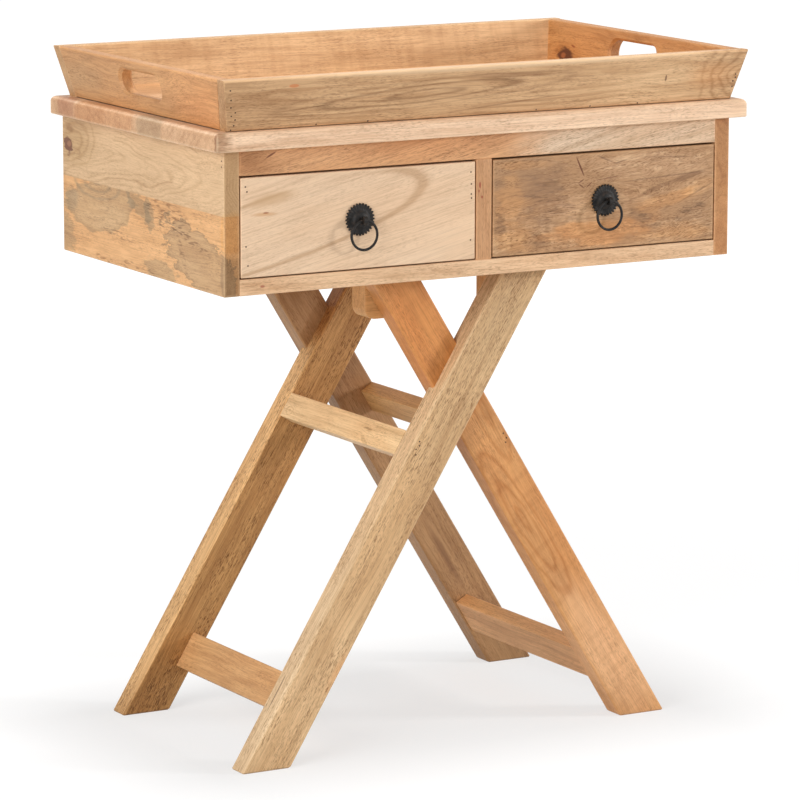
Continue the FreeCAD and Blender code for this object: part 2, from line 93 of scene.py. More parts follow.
# %% [markdown]
# Node trees get long, so a few small helpers keep them readable. Each adds one kind of node, fills its
# inputs with plain values or with links, and hands back the output socket, so that a tree reads like a
# sum.

# %% Helpers for building node trees
def fill(tree, made, values):
    """Gives each named input of a node a value or a link."""
    for socket, given in values.items():
        if isinstance(given, bpy.types.NodeSocket):
            tree.links.new(given, made.inputs[socket])
        else:
            made.inputs[socket].default_value = given
    return made


def put(tree, kind, values, **settings):
    """Adds a node, sets its properties and fills its inputs."""
    made = tree.nodes.new(kind)
    for name, setting in settings.items():
        setattr(made, name, setting)
    return fill(tree, made, values)


def sum_of(tree, operation, *terms):
    """One step of arithmetic on numbers."""
    return put(tree, "ShaderNodeMath", dict(enumerate(terms)), operation=operation).outputs[0]


def times(tree, first, second):
    """The product of two numbers."""
    return sum_of(tree, "MULTIPLY", first, second)


def vector_of(tree, operation, *terms):
    """One step of arithmetic on vectors."""
    made = put(tree, "ShaderNodeVectorMath", dict(enumerate(terms)), operation=operation)
    return made.outputs["Value" if operation in ("LENGTH", "DOT_PRODUCT") else "Vector"]


def ramp(tree, amount, low, high):
    """Turns a range of numbers into a smooth share from 0 to 1."""
    values = {"Value": amount, "From Min": low, "From Max": high}
    return put(tree, "ShaderNodeMapRange", values, interpolation_type="SMOOTHSTEP").outputs["Result"]


def blend(tree, share, first, second, how="MIX"):
    """Lays the second colour over the first by a share."""
    made = put(tree, "ShaderNodeMix", {0: share, 6: first, 7: second}, data_type="RGBA", blend_type=how)
    return made.outputs[2]


def noise(tree, vector, stretch, detail, offset):
    """A noise whose grains are as many per metre along x, y and z as stretch says."""
    moved = vector_of(tree, "MULTIPLY_ADD", vector, stretch, offset)
    return put(tree, "ShaderNodeTexNoise", {"Vector": moved, "Scale": 1.0, "Detail": detail})


def start_group(name, inputs, outputs):
    """Makes a node group, and returns it with its input sockets and its output node."""
    group = bpy.data.node_groups.new(name, "ShaderNodeTree")
    kinds = {1: "Float", 3: "Vector", 4: "Color"}
    for title, start in inputs.items():
        kind = kinds[np.size(start)]
        socket = group.interface.new_socket(title, in_out="INPUT", socket_type=f"NodeSocket{kind}")
        socket.default_value = start
    for title, kind in outputs.items():
        group.interface.new_socket(title, in_out="OUTPUT", socket_type=f"NodeSocket{kind}")
    return group, group.nodes.new("NodeGroupInput").outputs, group.nodes.new("NodeGroupOutput")


def use_group(tree, group, values):
    """Places a node group with its own values, and returns its outputs."""
    return put(tree, "ShaderNodeGroup", values, node_tree=group).outputs


print("node helpers ready")

# %% [markdown]
# Wood is a stack of growth cones round a pith. If each board keeps its own frame, with x along the grain
# and y through its thickness, then the distance to a slightly leaning pith gives rings on the end,
# straight lines on the edge and pointed cathedrals on the face, all from one formula. Fibres and pores
# are noise stretched along the grain, and slow noise swirls the lines, lets the colour drift and adds a
# blush of a second colour. All boards share this group with their own values.

# %% The grain that every board shares
# A noise: its grains per metre along, through and across the board, its octaves, and an offset that
# keeps it apart from the others. These four are mixed before they are used.
grain_noises = {
    "slow": ((5, 17, 17), 2.0, (0, 0, 0)),
    "quick": ((26, 70, 70), 2.0, (1, 6, 3)),
    "broad": ((3.5, 110, 110), 4.0, (1, 2, 3)),
    "narrow": ((7, 420, 420), 3.0, (5, 8, 1)),
}
# A layer is a noise with the range of its values that becomes a share from 0 to 1.
grain_layers = {
    "fade": ((9, 30, 30), 1.0, (5, 5, 1), 0.3, 0.6),
    "patch": ((5, 21, 21), 3.0, (7, 8, 9), 0.38, 0.66),
    "curl": ((110, 16, 16), 2.0, (2, 9, 4), 0.4, 0.7),
    "mottle": ((34, 190, 190), 3.0, (9, 4, 2), 0.38, 0.66),
    "warm": ((5, 16, 16), 3.0, (8, 1, 5), 0.42, 0.64),
    "fibre": ((16, 800, 800), 2.0, (4, 5, 6), 0.42, 0.72),
    "crowd": ((14, 50, 50), 2.0, (6, 2, 2), 0.2, 0.7),
    "pore": ((180, 1250, 1250), 1.0, (3, 1, 7), 0.5, 0.66),
}
quick_share = 0.16
narrow_share = 0.45
streak_range = (0.4, 0.62)
changes_per_ring = 0.9
change_range = (0.25, 0.7)
seed_shift = (7.1, 3.7, 5.3)
least_fibre_share = 0.14
fibre_per_pore_share = 0.3
wood_roughness = 0.5
pit_roughness = 0.18


def make_plank_grain():
    """Ring phase = distance from the leaning pith, bent by slow noise, over the ring width."""
    numbers = ("Lean", "Ring Width", "Line", "Swirl", "Rings", "Streaks", "Patches", "Curl", "Mottle",
               "Pores", "Blushes", "Seed")
    inputs = {"Vector": (0, 0, 0), "Pith": (0, 0, 0), **dict.fromkeys(numbers, 0.0)}
    inputs.update(dict.fromkeys(("Pale", "Brown", "Dark", "Blush"), (1, 1, 1, 1)))
    outputs = {"Color": "Color", "Roughness": "Float", "Height": "Float"}
    group, given, result = start_group("plank_grain", inputs, outputs)

    def layer(name, vector):
        """One layer of noise as a share from 0 to 1."""
        stretch, detail, offset, low, high = grain_layers[name]
        return ramp(group, noise(group, vector, stretch, detail, offset).outputs[0], low, high)

    own = vector_of(group, "ADD", given["Vector"], vector_of(group, "MULTIPLY", seed_shift, given["Seed"]))
    slow = noise(group, own, *grain_noises["slow"]).outputs["Color"]
    quick = noise(group, own, *grain_noises["quick"]).outputs["Color"]
    both = vector_of(group, "MULTIPLY_ADD", quick, (quick_share,) * 3, slow)
    centred = vector_of(group, "SUBTRACT", both, ((1 + quick_share) / 2,) * 3)
    push = vector_of(group, "MULTIPLY", centred, given["Swirl"])
    bent = vector_of(group, "ADD", vector_of(group, "SUBTRACT", given["Vector"], given["Pith"]), push)
    split = put(group, "ShaderNodeSeparateXYZ", {0: bent}).outputs
    through = sum_of(group, "SUBTRACT", split["Y"], times(group, split["X"], given["Lean"]))
    across = put(group, "ShaderNodeCombineXYZ", {"Y": through, "Z": split["Z"]}).outputs[0]
    turns = sum_of(group, "DIVIDE", vector_of(group, "LENGTH", across), given["Ring Width"])
    wave = sum_of(group, "COSINE", times(group, turns, math.tau))
    line = sum_of(group, "POWER", sum_of(group, "MULTIPLY_ADD", wave, -0.5, 0.5), given["Line"])
    values = {"W": turns, "Scale": changes_per_ring, "Detail": 0.0}
    change = put(group, "ShaderNodeTexNoise", values, noise_dimensions="1D").outputs[0]
    seen = times(group, ramp(group, change, *change_range), layer("fade", own))
    rings = times(group, times(group, line, seen), given["Rings"])
    swept = vector_of(group, "ADD", own, push)
    broad = noise(group, swept, *grain_noises["broad"]).outputs[0]
    narrow = noise(group, swept, *grain_noises["narrow"]).outputs[0]
    streak = times(group, broad, 1 - narrow_share)
    streak = sum_of(group, "MULTIPLY_ADD", narrow, narrow_share, streak)
    lines = times(group, ramp(group, streak, *streak_range), given["Streaks"])
    brownness = sum_of(group, "ADD", rings, lines)
    tints = (("patch", own, "Patches"), ("curl", own, "Curl"), ("mottle", swept, "Mottle"))
    for name, vector, title in tints:
        part = times(group, layer(name, vector), given[title])
        brownness = sum_of(group, "ADD", brownness, part)
    ground = blend(group, sum_of(group, "MINIMUM", brownness, 1.0), given["Pale"], given["Brown"])
    cover = times(group, layer("warm", own), given["Blushes"])
    ground = blend(group, cover, ground, blend(group, 1.0, ground, given["Blush"], "MULTIPLY"))
    fibre_depth = sum_of(group, "MULTIPLY_ADD", given["Pores"], fibre_per_pore_share, least_fibre_share)
    fine = times(group, layer("fibre", swept), fibre_depth)
    crowded = times(group, layer("pore", swept), layer("crowd", own))
    pits = times(group, crowded, given["Pores"])
    shade = sum_of(group, "MINIMUM", sum_of(group, "ADD", fine, pits), 1.0)
    rough = sum_of(group, "MULTIPLY_ADD", shade, pit_roughness, wood_roughness)
    colour = blend(group, shade, ground, given["Dark"])
    fill(group, result, {"Color": colour, "Roughness": rough, "Height": times(group, shade, -1.0)})
    return group


plank_grain = make_plank_grain()
print("plank_grain nodes:", len(plank_grain.nodes))

# %% [markdown]
# Boards of this kind carry marks: grey fungus stains with ragged rims, knots, red flecks, short cracks.
# Each is a soft ellipsoid in the board's frame, which may be turned about the board's thickness, and
# whose distance is roughened by noise. One group serves them all, from a hair crack to a stain as broad
# as a hand, and can break a stain into specks.

# %% A mark with a ragged rim
mark_inputs = {
    "Vector": (0, 0, 0), "Centre": (0, 0, 0), "Size": (1, 1, 1), "Turn": 0.0, "Ragged": 0.4, "Grains": 60.0}
rough_stretch = (0.35, 1, 1)
rough_detail = 4.0
dash_noise = ((70, 430, 430), 1.0, (2, 2, 2))
dash_range = (0.64, 0.5)


def ragged_reach(group, given):
    """Distance = |turned (p - centre)| / size, roughened by a noise that is drawn out along the grain."""
    away = vector_of(group, "SUBTRACT", given["Vector"], given["Centre"])
    values = {"Vector": away, "Angle": given["Turn"]}
    turned = put(group, "ShaderNodeVectorRotate", values, rotation_type="Y_AXIS").outputs[0]
    reach = vector_of(group, "LENGTH", vector_of(group, "DIVIDE", turned, given["Size"]))
    drawn_out = vector_of(group, "MULTIPLY", given["Vector"], rough_stretch)
    values = {"Vector": drawn_out, "Scale": given["Grains"], "Detail": rough_detail}
    rough = put(group, "ShaderNodeTexNoise", values).outputs[0]
    bumps = times(group, sum_of(group, "SUBTRACT", rough, 0.5), given["Ragged"])
    return sum_of(group, "ADD", reach, bumps)


def make_mark():
    """Mask = 1 where the ragged distance is under 1, kept only in short dashes by the share of specks."""
    inputs = {**mark_inputs, "Soft": 0.3, "Specks": 0.0}
    group, given, result = start_group("mark", inputs, {"Mask": "Float"})
    inner = sum_of(group, "SUBTRACT", 1.0, given["Soft"])
    whole = ramp(group, ragged_reach(group, given), 1.0, inner)
    dashes = noise(group, given["Vector"], *dash_noise).outputs[0]
    gaps = times(group, ramp(group, dashes, *dash_range), given["Specks"])
    fill(group, result, {"Mask": times(group, whole, sum_of(group, "SUBTRACT", 1.0, gaps))})
    return group


mark = make_mark()
print("mark nodes:", len(mark.nodes))

# %% [markdown]
# Round a knot, or where a saw cut through a bend of the trunk, growth lines close into eyes. An eye is a
# set of ellipses about one point: peaks of the cosine of the same ragged distance, drawn thin, fading at
# the rim.

# %% The rings of an eye
eye_power = 3.0
eye_fade_range = (1.1, 0.8)


def make_eye_rings():
    """Mask = thin peaks of the cosine of distance x count, fading out where the distance passes 1."""
    inputs = {**mark_inputs, "Count": 4.0}
    group, given, result = start_group("eye_rings", inputs, {"Mask": "Float"})
    reach = ragged_reach(group, given)
    turns = times(group, times(group, reach, given["Count"]), math.tau)
    peak = sum_of(group, "MULTIPLY_ADD", sum_of(group, "COSINE", turns), -0.5, 0.5)
    fade = ramp(group, reach, *eye_fade_range)
    fill(group, result, {"Mask": times(group, sum_of(group, "POWER", peak, eye_power), fade)})
    return group


eye_rings = make_eye_rings()
print("eye_rings nodes:", len(eye_rings.nodes))

# %% [markdown]
# Corners are painted paler: partly sanded wear that lost its stain, partly a painted highlight where an
# edge would catch the light. In a box, the two smallest distances to its walls say how near an edge a
# point lies, so the second smallest makes a mask with no help from the mesh.

# %% Pale edges: sanded wear and painted highlight
edge_width = 0.003
edge_noise = ((90, 90, 90), 2.0, (0, 0, 0))


def make_worn_and_lit_edge():
    """Distance to an edge = the middle one of half size - |p| along x, y and z."""
    inputs = {"Vector": (0, 0, 0), "Half": (1, 1, 1), "Width": edge_width}
    group, given, result = start_group("worn_and_lit_edge", inputs, {"Mask": "Float"})
    depth = vector_of(group, "SUBTRACT", given["Half"], vector_of(group, "ABSOLUTE", given["Vector"]))
    split = put(group, "ShaderNodeSeparateXYZ", {0: depth}).outputs
    low = sum_of(group, "MINIMUM", split["X"], split["Y"])
    high = sum_of(group, "MAXIMUM", split["X"], split["Y"])
    middle = sum_of(group, "MAXIMUM", low, sum_of(group, "MINIMUM", high, split["Z"]))
    grain = noise(group, given["Vector"], *edge_noise).outputs[0]
    reach = times(group, given["Width"], sum_of(group, "ADD", grain, 0.5))
    values = {"Value": middle, "From Min": reach, "From Max": 0.0}
    fill(group, result, {"Mask": put(group, "ShaderNodeMapRange", values).outputs["Result"]})
    return group


worn_and_lit_edge = make_worn_and_lit_edge()
print("worn_and_lit_edge nodes:", len(worn_and_lit_edge.nodes))

# %% [markdown]
# Wide panels are glued up from strips. A strip is a step in the distance across the panel; its number,
# fed to white noise, gives each strip its own shift along the log and its own tint, as if it had been cut
# from another tree.

# %% Strips of a glued-up panel
strip_shift = (3.0, 0.0, 0.0)


def make_glued_strips():
    """Strip number = floor of z over the strip width; white noise of it shifts and tints the strip."""
    inputs = {"Vector": (0, 0, 0), "Width": 0.06, "Seed": 0.0}
    group, given, result = start_group("glued_strips", inputs, {"Vector": "Vector", "Tint": "Float"})
    split = put(group, "ShaderNodeSeparateXYZ", {0: given["Vector"]}).outputs
    number = sum_of(group, "FLOOR", sum_of(group, "DIVIDE", split["Z"], given["Width"]))
    chance = put(group, "ShaderNodeTexWhiteNoise", {"W": sum_of(group, "ADD", number, given["Seed"])},
                 noise_dimensions="1D").outputs
    moved = vector_of(group, "MULTIPLY_ADD", chance["Color"], strip_shift, given["Vector"])
    fill(group, result, {"Vector": moved, "Tint": chance["Value"]})
    return group


glued_strips = make_glued_strips()
print("glued_strips nodes:", len(glued_strips.nodes))

# %% [markdown]
# Every board is measured in its own frame, so that grain, marks and edges follow the timber and not the
# room. Marks are written with places in shares of the board's half sizes, and colours as seen on a
# screen; they are turned to linear light once.

# %% Measure a board
def linear(tone, factor=(1, 1, 1)):
    """Screen colour 0..255 to linear light by the sRGB curve, times a factor for each channel."""
    share = np.array(tone) / 255
    light = np.where(share <= 0.04045, share / 12.92, ((share + 0.055) / 1.055) ** 2.4)
    return (*np.clip(light * np.array(factor), 0, 1), 1)


def board_frame(node, turn):
    """Turn, middle and half sizes of a node along the axes of its board frame."""
    turn = Euler([math.radians(angle) for angle in turn])
    corners = np.empty(len(nodes[node].data.vertices) * 3)
    nodes[node].data.vertices.foreach_get("co", corners)
    axes = np.array(turn.to_matrix())
    local = corners.reshape(-1, 3) @ axes
    low, high = local.min(axis=0), local.max(axis=0)
    return turn, axes @ ((low + high) / 2), (high - low) / 2


def spot(at, size, tone, share=0.8, ragged=0.4, grains=60, soft=0.3, turn=0, specks=0):
    """One mark: its place in shares of the board's half sizes, its half sizes in metres, colour and rim."""
    sockets = {"Size": size, "Ragged": ragged, "Grains": grains, "Soft": soft, "Turn": math.radians(turn),
               "Specks": specks}
    return {"at": at, "group": mark, "sockets": sockets, "colour": linear(tone), "how": "MIX", "share": share}


def stain(at, size, factor, share=0.9, ragged=1.0, grains=90, soft=0.5, turn=0, specks=0):
    """A mark that tints the wood by a factor for each channel, so that the grain shows through it."""
    made = spot(at, size, (0, 0, 0), share, ragged, grains, soft, turn, specks)
    return {**made, "colour": (*factor, 1), "how": "MULTIPLY"}


def eye(at, size, factor, count, share=0.7, ragged=0.5, grains=40, turn=0):
    """The closed growth lines round a point, which tint the wood by a factor for each channel."""
    sockets = {"Size": size, "Ragged": ragged, "Grains": grains, "Turn": math.radians(turn), "Count": count}
    return {"at": at, "group": eye_rings, "sockets": sockets, "colour": (*factor, 1), "how": "MULTIPLY",
            "share": share}


print("left side, half sizes:", board_frame("left_side", (0, 0, 90))[2])

# %% [markdown]
# With a board measured, its material is laid on in a fixed order: grain in pale, brown and dark shades of
# the board's own tone, the second board of a glue-up, end grain, which drinks more finish and is darker,
# then marks, and last the edges. Each step mixes one more colour over the colour so far, so a board may
# leave a step out.

# %% Dress one board
plain_board = {
    "pith": (0, 0.05, 0.01), "lean": 0.05, "ring": 0.009, "line": 2.5, "swirl": 0.012, "slant": 0,
    "rings": 0.5, "streaks": 0.45, "patches": 0.35, "curl": 0.0, "mottle": 0.2, "pores": 0.35, "blushes": 0.0,
    "blush": (1.06, 0.94, 0.82), "strip": 0, "ends": (0.8, 0.74, 0.66), "rim": 0.3,
}
grain_titles = (
    "Pith", "Lean", "Line", "Swirl", "Rings", "Streaks", "Patches", "Curl", "Mottle", "Pores", "Blushes")
shade_shares = {"Pale": (1.28, 1.3, 1.32), "Brown": (0.9, 0.82, 0.74), "Dark": (0.4, 0.3, 0.21)}
rim_share = (1.4, 1.4, 1.38)
bump_depth = 0.0004
bump_strength = 0.5
wood_gloss = 0.35
seam_width = 0.0006
end_facing_range = (0.7, 0.95)
second_seed_step = 0.5


def cut_board(tree, local, tone, seed, way):
    """Places the shared grain with one board's values."""
    values = {"Vector": local, "Angle": math.radians(way["slant"]), "Center": way["pith"]}
    slanted = put(tree, "ShaderNodeVectorRotate", values, rotation_type="Y_AXIS").outputs[0]
    return use_group(tree, plank_grain, {
        "Vector": slanted, "Ring Width": way["ring"], "Seed": seed, "Blush": (*way["blush"], 1),
        **{title: linear(tone, shares) for title, shares in shade_shares.items()},
        **{title: way[title.lower()] for title in grain_titles}})


def lay_marks(tree, local, half, colour, marks):
    """Lays each mark over the colour, at its place in shares of the board's half sizes."""
    for place in marks:
        values = {"Vector": local, "Centre": np.array(place["at"]) * half, **place["sockets"]}
        cover = times(tree, use_group(tree, place["group"], values)["Mask"], place["share"])
        colour = blend(tree, cover, colour, place["colour"], place["how"])
    return colour


def dress_board(node, turn, tone, seed, marks=(), second=None, **ways):
    """Gives a board its own material: shared grain, end grain, its marks, then its pale edges."""
    turn, centre, half = board_frame(node, turn)
    way = {**plain_board, **ways}
    material = bpy.data.materials.new(f"{node}_wood")
    material.use_nodes = True
    tree = material.node_tree
    surface = put(tree, "ShaderNodeTexCoord", {}).outputs
    values = {"Vector": surface["Object"], "Location": centre, "Rotation": turn}
    local = put(tree, "ShaderNodeMapping", values, vector_type="TEXTURE").outputs[0]
    timber = local
    if way["strip"]:
        strips = use_group(tree, glued_strips, {"Vector": local, "Width": way["strip"], "Seed": seed})
        timber = strips["Vector"]
    grain = cut_board(tree, timber, tone, seed, way)
    colour = grain["Color"]
    if way["strip"]:
        tinted = blend(tree, 1.0, colour, (*way["blush"], 1), "MULTIPLY")
        colour = blend(tree, strips["Tint"], colour, tinted)
    if second:
        lower_way = {**plain_board, **second}
        lower = cut_board(tree, local, second["tone"], seed + second_seed_step, lower_way)["Color"]
        lower = lay_marks(tree, local, half, lower, second.get("marks", ()))
        height = put(tree, "ShaderNodeSeparateXYZ", {0: local}).outputs["Z"]
        seam = second["seam"] * half[2]
        colour = blend(tree, ramp(tree, height, seam + seam_width, seam), colour, lower)
    facing = vector_of(tree, "DOT_PRODUCT", surface["Normal"], turn.to_matrix() @ Vector((1, 0, 0)))
    ends = ramp(tree, sum_of(tree, "ABSOLUTE", facing), *end_facing_range)
    colour = blend(tree, ends, colour, (*way["ends"], 1), "MULTIPLY")
    colour = lay_marks(tree, local, half, colour, marks)
    mask = use_group(tree, worn_and_lit_edge, {"Vector": local, "Half": half})["Mask"]
    # Pale edges: partly sanded wear, partly a painted highlight.
    colour = blend(tree, times(tree, mask, way["rim"]), colour, linear(tone, rim_share))
    values = {"Strength": bump_strength, "Distance": bump_depth, "Height": grain["Height"]}
    bump = put(tree, "ShaderNodeBump", values).outputs[0]
    fill(tree, tree.nodes["Principled BSDF"], {
        "Base Color": colour, "Roughness": grain["Roughness"], "Normal": bump,
        "Specular IOR Level": wood_gloss})
    for slot in nodes[node].material_slots:
        slot.material = material
    return material


print("board dresser ready")

# %% [markdown]
# The tray's long walls are grey-tan, the front one with a long eye in its grain, and the ends are warmer.
# The turn of each board lays its x along the grain and leans its frame with the flare of the wall.
# Dark lines painted along the bottoms of the front wall and the left end are painted shadow in the gap where
# the tray meets the top.

# %% The tray
along_x = (0, 0, 0)
flat = (90, 0, 0)
along_y = (0, 0, 90)
upright = (0, -90, 0)
wall_lean = 17.2
end_lean = 12.3
knot_brown = (104, 58, 38)
crack_brown = (96, 60, 38)
orange_heart = (212, 146, 88)
# Brown for the painted shadow in the gap under the tray walls, where they meet the top.
gap_shadow_brown = (66, 38, 22)
# A mark says its place, half sizes and colour, then share, raggedness, grains, soft rim, turn, specks.
# An eye has its count of lines after the colour, and no soft rim or specks.
# Painted shadow: a dark line along the bottom of the left end.
end_gap_shadow = spot((0, 1, -0.885), (0.3, 0.012, 0.002), gap_shadow_brown, 0.85, 0.3, 40, 0.5)
tray_front_marks = [
    # Painted shadow: a dark line along the bottom of the front wall.
    spot((0, -1, -0.845), (0.6, 0.008, 0.0011), gap_shadow_brown, 0.8, 0.3, 40, 0.5),
    stain((-0.88, -1, 0), (0.11, 0.02, 0.05), (0.84, 0.8, 0.76), 1.0, 0.8, 30, 0.9),
    stain((0.62, -1, 0), (0.14, 0.02, 0.05), (1.16, 1.22, 1.28), 1.0, 0.8, 30, 0.9),
    eye((-0.24, -1, 0.12), (0.19, 0.03, 0.015), (0.6, 0.55, 0.5), 2.6, 0.8, 0.6, 24, 3.4),
    stain((0.07, -1, 0.6), (0.07, 0.02, 0.0032), (0.7, 0.64, 0.6), 0.9, 1.2, 60, 0.6, -2),
    stain((0.1, -1, -0.42), (0.11, 0.02, 0.0013), (0.66, 0.6, 0.56), 0.8, 0.9, 50, 0.8, 5),
    eye((1.0, -1, 0.12), (0.064, 0.03, 0.046), (0.62, 0.53, 0.43), 6, 0.7, 0.8, 30),
    stain((-0.685, -1, -0.143), (0.048, 0.02, 0.0012), (0.64, 0.58, 0.52), 0.9, 0.8, 60, 0.8, 5),
    stain((-0.45, -1, -0.04), (0.044, 0.02, 0.0015), (0.62, 0.56, 0.5), 0.9, 0.8, 60, 0.8, -2),
    stain((-0.4, -1, 0.1), (0.09, 0.02, 0.002), (1.2, 1.22, 1.26), 0.8, 0.8, 60, 0.8, 4),
    spot((-0.742, -1, 0.7), (0.007, 0.01, 0.0024), (206, 128, 78), 0.8),
    spot((0.684, -1, 0.119), (0.0014, 0.01, 0.004), crack_brown, 0.7),
    spot((0.86, -1, 0.1), (0.05, 0.02, 0.02), orange_heart, 0.35, 0.9, 40, 0.8),
    # Painted highlight: a pale band along the top of the outer face.
    spot((0, -1, 1.0), (0.33, 0.02, 0.006), (222, 190, 152), 0.75, 0.5, 30, 0.6)]
dress_board("tray_front_wall", (wall_lean, 0, 0), (201, 163, 122), 1, tray_front_marks,
            pith=(-0.115, -0.0077, 0.012), lean=0.05, ring=0.0055, line=2.0, swirl=0.016, rings=1.2,
            streaks=0.45, patches=0.3, pores=0.45)
dress_board("tray_back_wall", (-wall_lean, 0, 0), (201, 164, 123), 2,
            curl=0.25, rings=0.3, streaks=0.35, patches=0.4, blushes=0.5, blush=(0.92, 0.86, 0.76))
dress_board("tray_left_end", (-end_lean, 0, 90), (188, 140, 93), 3,
            [stain((0.8, 1, 0), (0.1, 0.02, 0.05), (0.86, 0.92, 0.98), 1.0, 0.8, 30, 0.9),
             stain((-0.7, 1, 0), (0.1, 0.02, 0.05), (1.1, 1.04, 1.0), 1.0, 0.8, 30, 0.9), end_gap_shadow],
            pith=(0.05, 0.03, -0.01), lean=0.12, ring=0.008, swirl=0.03, rings=0.4, blushes=0.5)
dress_board("tray_right_end", (end_lean, 0, 90), (182, 131, 80), 4,
            [stain((0.74, 1, -0.26), (0.045, 0.02, 0.02), (0.8, 0.7, 0.6), 0.9, 0.9, 60, 0.9),
             spot((0.745, 1, -0.3), (0.017, 0.01, 0.011), (84, 42, 24), 0.95, 1.6, 110, 0.4),
             spot((0.755, 1, -0.4), (0.006, 0.01, 0.004), (158, 92, 54), 0.7, 1.0, 160, 0.6),
             spot((0.66, 1, 0.02), (0.006, 0.01, 0.0014), (128, 54, 28), 0.8, 0.6, 160, 0.6, 12)],
            pith=(0.135, 0.0078, -0.007), lean=0.3, ring=0.007, swirl=0.02, blushes=0.4)
dress_board("tray_floor", flat, (212, 168, 125), 5, strip=0.075, blush=(0.9, 0.8, 0.68))
print("tray boards dressed")

# %% [markdown]
# The chest is built of wider boards. Its left side is glued up from two very different ones: a pale curly
# board above, and below it a board with grey fungus stains whose rims are ragged. Sides run front to
# back, so their front edges show end grain.

# %% The sides of the chest
grey = (0.77, 0.83, 0.91)
rim_grey = (0.7, 0.76, 0.82)
speck_brown = (0.52, 0.46, 0.42)
lower_marks = [
    stain((0.505, 1, -0.2), (0.086, 0.02, 0.031), rim_grey, 1.0, 0.8, 70, 0.08, -6),
    stain((0.505, 1, -0.19), (0.08, 0.02, 0.028), (1.16, 1.2, 1.26), 0.9, 0.8, 70, 0.2, -6),
    eye((0.56, 1, 0.13), (0.064, 0.02, 0.023), rim_grey, 3, 0.8, 0.5, 40),
    stain((-0.72, 1, -0.6), (0.088, 0.02, 0.033), (0.58, 0.62, 0.66), 1.0, 1.1, 170, 0.06, 17),
    stain((-0.72, 1, -0.6), (0.083, 0.02, 0.03), (1.26, 1.28, 1.32), 1.0, 1.1, 170, 0.12, 17),
    stain((-0.72, 1, -0.59), (0.06, 0.02, 0.018), (0.92, 0.9, 0.88), 1.0, 1.6, 60, 0.6, 17),
    stain((-0.6, 1, -0.34), (0.06, 0.02, 0.006), speck_brown, 0.9, 0.6, 200, 0.4, 14, 1.0),
    stain((-0.5, 1, -0.56), (0.03, 0.02, 0.006), speck_brown, 0.8, 0.6, 200, 0.4, 60, 0.9),
    stain((-0.31, 1, -0.055), (0.07, 0.02, 0.02), speck_brown, 0.9, 0.6, 160, 0.4, 11, 1.0),
    stain((0.98, 1, -0.72), (0.026, 0.02, 0.03), rim_grey, 0.9, 1.2, 120, 0.3, -40),
    stain((0.9, 1, -0.2), (0.02, 0.02, 0.02), grey, 0.8, 1.0, 80, 0.5, -50),
    stain((0.02, 1, -0.05), (0.032, 0.02, 0.014), rim_grey, 1.0, 1.8, 150, 0.2, 20),
    stain((-0.1, 1, -0.12), (0.022, 0.02, 0.01), rim_grey, 1.0, 2.0, 170, 0.2, 65),
    stain((-0.224, 1, -0.88), (0.04, 0.02, 0.012), rim_grey, 0.9, 1.6, 150, 0.25, 4),
    stain((0.2, 1, -0.95), (0.1, 0.02, 0.007), speck_brown, 0.9, 0.8, 160, 0.5, 0, 0.9),
    stain((0.3, 1, -0.55), (0.05, 0.02, 0.006), speck_brown, 0.7, 0.8, 160, 0.5, 4, 1.0)]
left_side_marks = [
    stain((0.86, 1, 0.6), (0.066, 0.02, 0.04), (0.78, 0.74, 0.64), 0.9, 0.8, 40, 0.8),
    stain((0.72, 1, 0.9), (0.07, 0.02, 0.014), (0.8, 0.76, 0.7), 0.8, 0.9, 50, 0.9),
    eye((0.93, 1, 0.54), (0.072, 0.02, 0.034), (0.76, 0.68, 0.56), 4, 0.6, 0.9, 30, -20),
    spot((0.92, 1, 0.55), (0.013, 0.02, 0.0105), knot_brown, 0.9, 2.2, 130, 0.3),
    spot((0.915, 1, 0.58), (0.0065, 0.02, 0.004), (160, 112, 80), 0.7, 1.2, 150, 0.5),
    stain((0.91, 1, 0.8), (0.014, 0.02, 0.007), (0.66, 0.56, 0.48), 0.9, 1.0, 120, 0.6),
    stain((-0.75, 1, 0.35), (0.11, 0.02, 0.022), (1.1, 1.12, 1.14), 0.9, 0.6, 30, 0.9, 10),
    stain((-1, 0, -0.13), (0.01, 0.03, 0.024), (1.06, 0.98, 0.8), 0.9, 0.3, 60, 0.25),
    stain((-1, 0, -0.75), (0.01, 0.03, 0.026), (0.7, 0.7, 0.7), 0.9, 0.6, 80, 0.3)]
dress_board("left_side", along_y, (199, 166, 128), 6, left_side_marks,
            second={"tone": (210, 163, 114), "seam": 0.1, "marks": lower_marks,
                    "pith": (0.105, 0.009, -0.013), "lean": 0.42, "ring": 0.0085, "line": 1.6,
                    "swirl": 0.014, "rings": 0.2, "streaks": 0.3, "pores": 0.4, "blushes": 0.5,
                    "blush": (1.0, 0.95, 0.88)},
            pith=(0.176, 0.009, 0.039), lean=0.12, ring=0.0034, line=2.4, swirl=0.03, rings=0.6,
            streaks=0.12, patches=0.2, mottle=0.12, pores=0.22, ends=(0.69, 0.62, 0.52))
right_side_marks = [
    eye((0.35, -1, 0.42), (0.095, 0.02, 0.03), (0.72, 0.64, 0.54), 4, 0.6, 0.8, 30, 4),
    spot((0.35, -1, 0.42), (0.01, 0.02, 0.0065), knot_brown, 0.85, 1.2, 120, 0.4),
    stain((-0.55, -1, -0.62), (0.075, 0.02, 0.022), grey, 0.9, 1.2, 100, 0.2, -12),
    stain((-0.2, -1, -0.4), (0.06, 0.02, 0.01), speck_brown, 0.8, 0.6, 160, 0.4, -8, 1.0)]
dress_board("right_side", along_y, (205, 158, 114), 7, right_side_marks,
            second={"tone": (214, 166, 122), "seam": -0.15, "blushes": 0.5},
            curl=0.15, blushes=0.5, rings=0.8, swirl=0.03, ends=(0.69, 0.58, 0.44))
print("sides dressed")

# %% [markdown]
# The top is glued up from strips, so its left end shows a row of end-grain patches. The partition and the
# front edge of the bottom carry red flecks of sap. The back has a knot and a stain of its own, so that
# the table looks whole from behind.

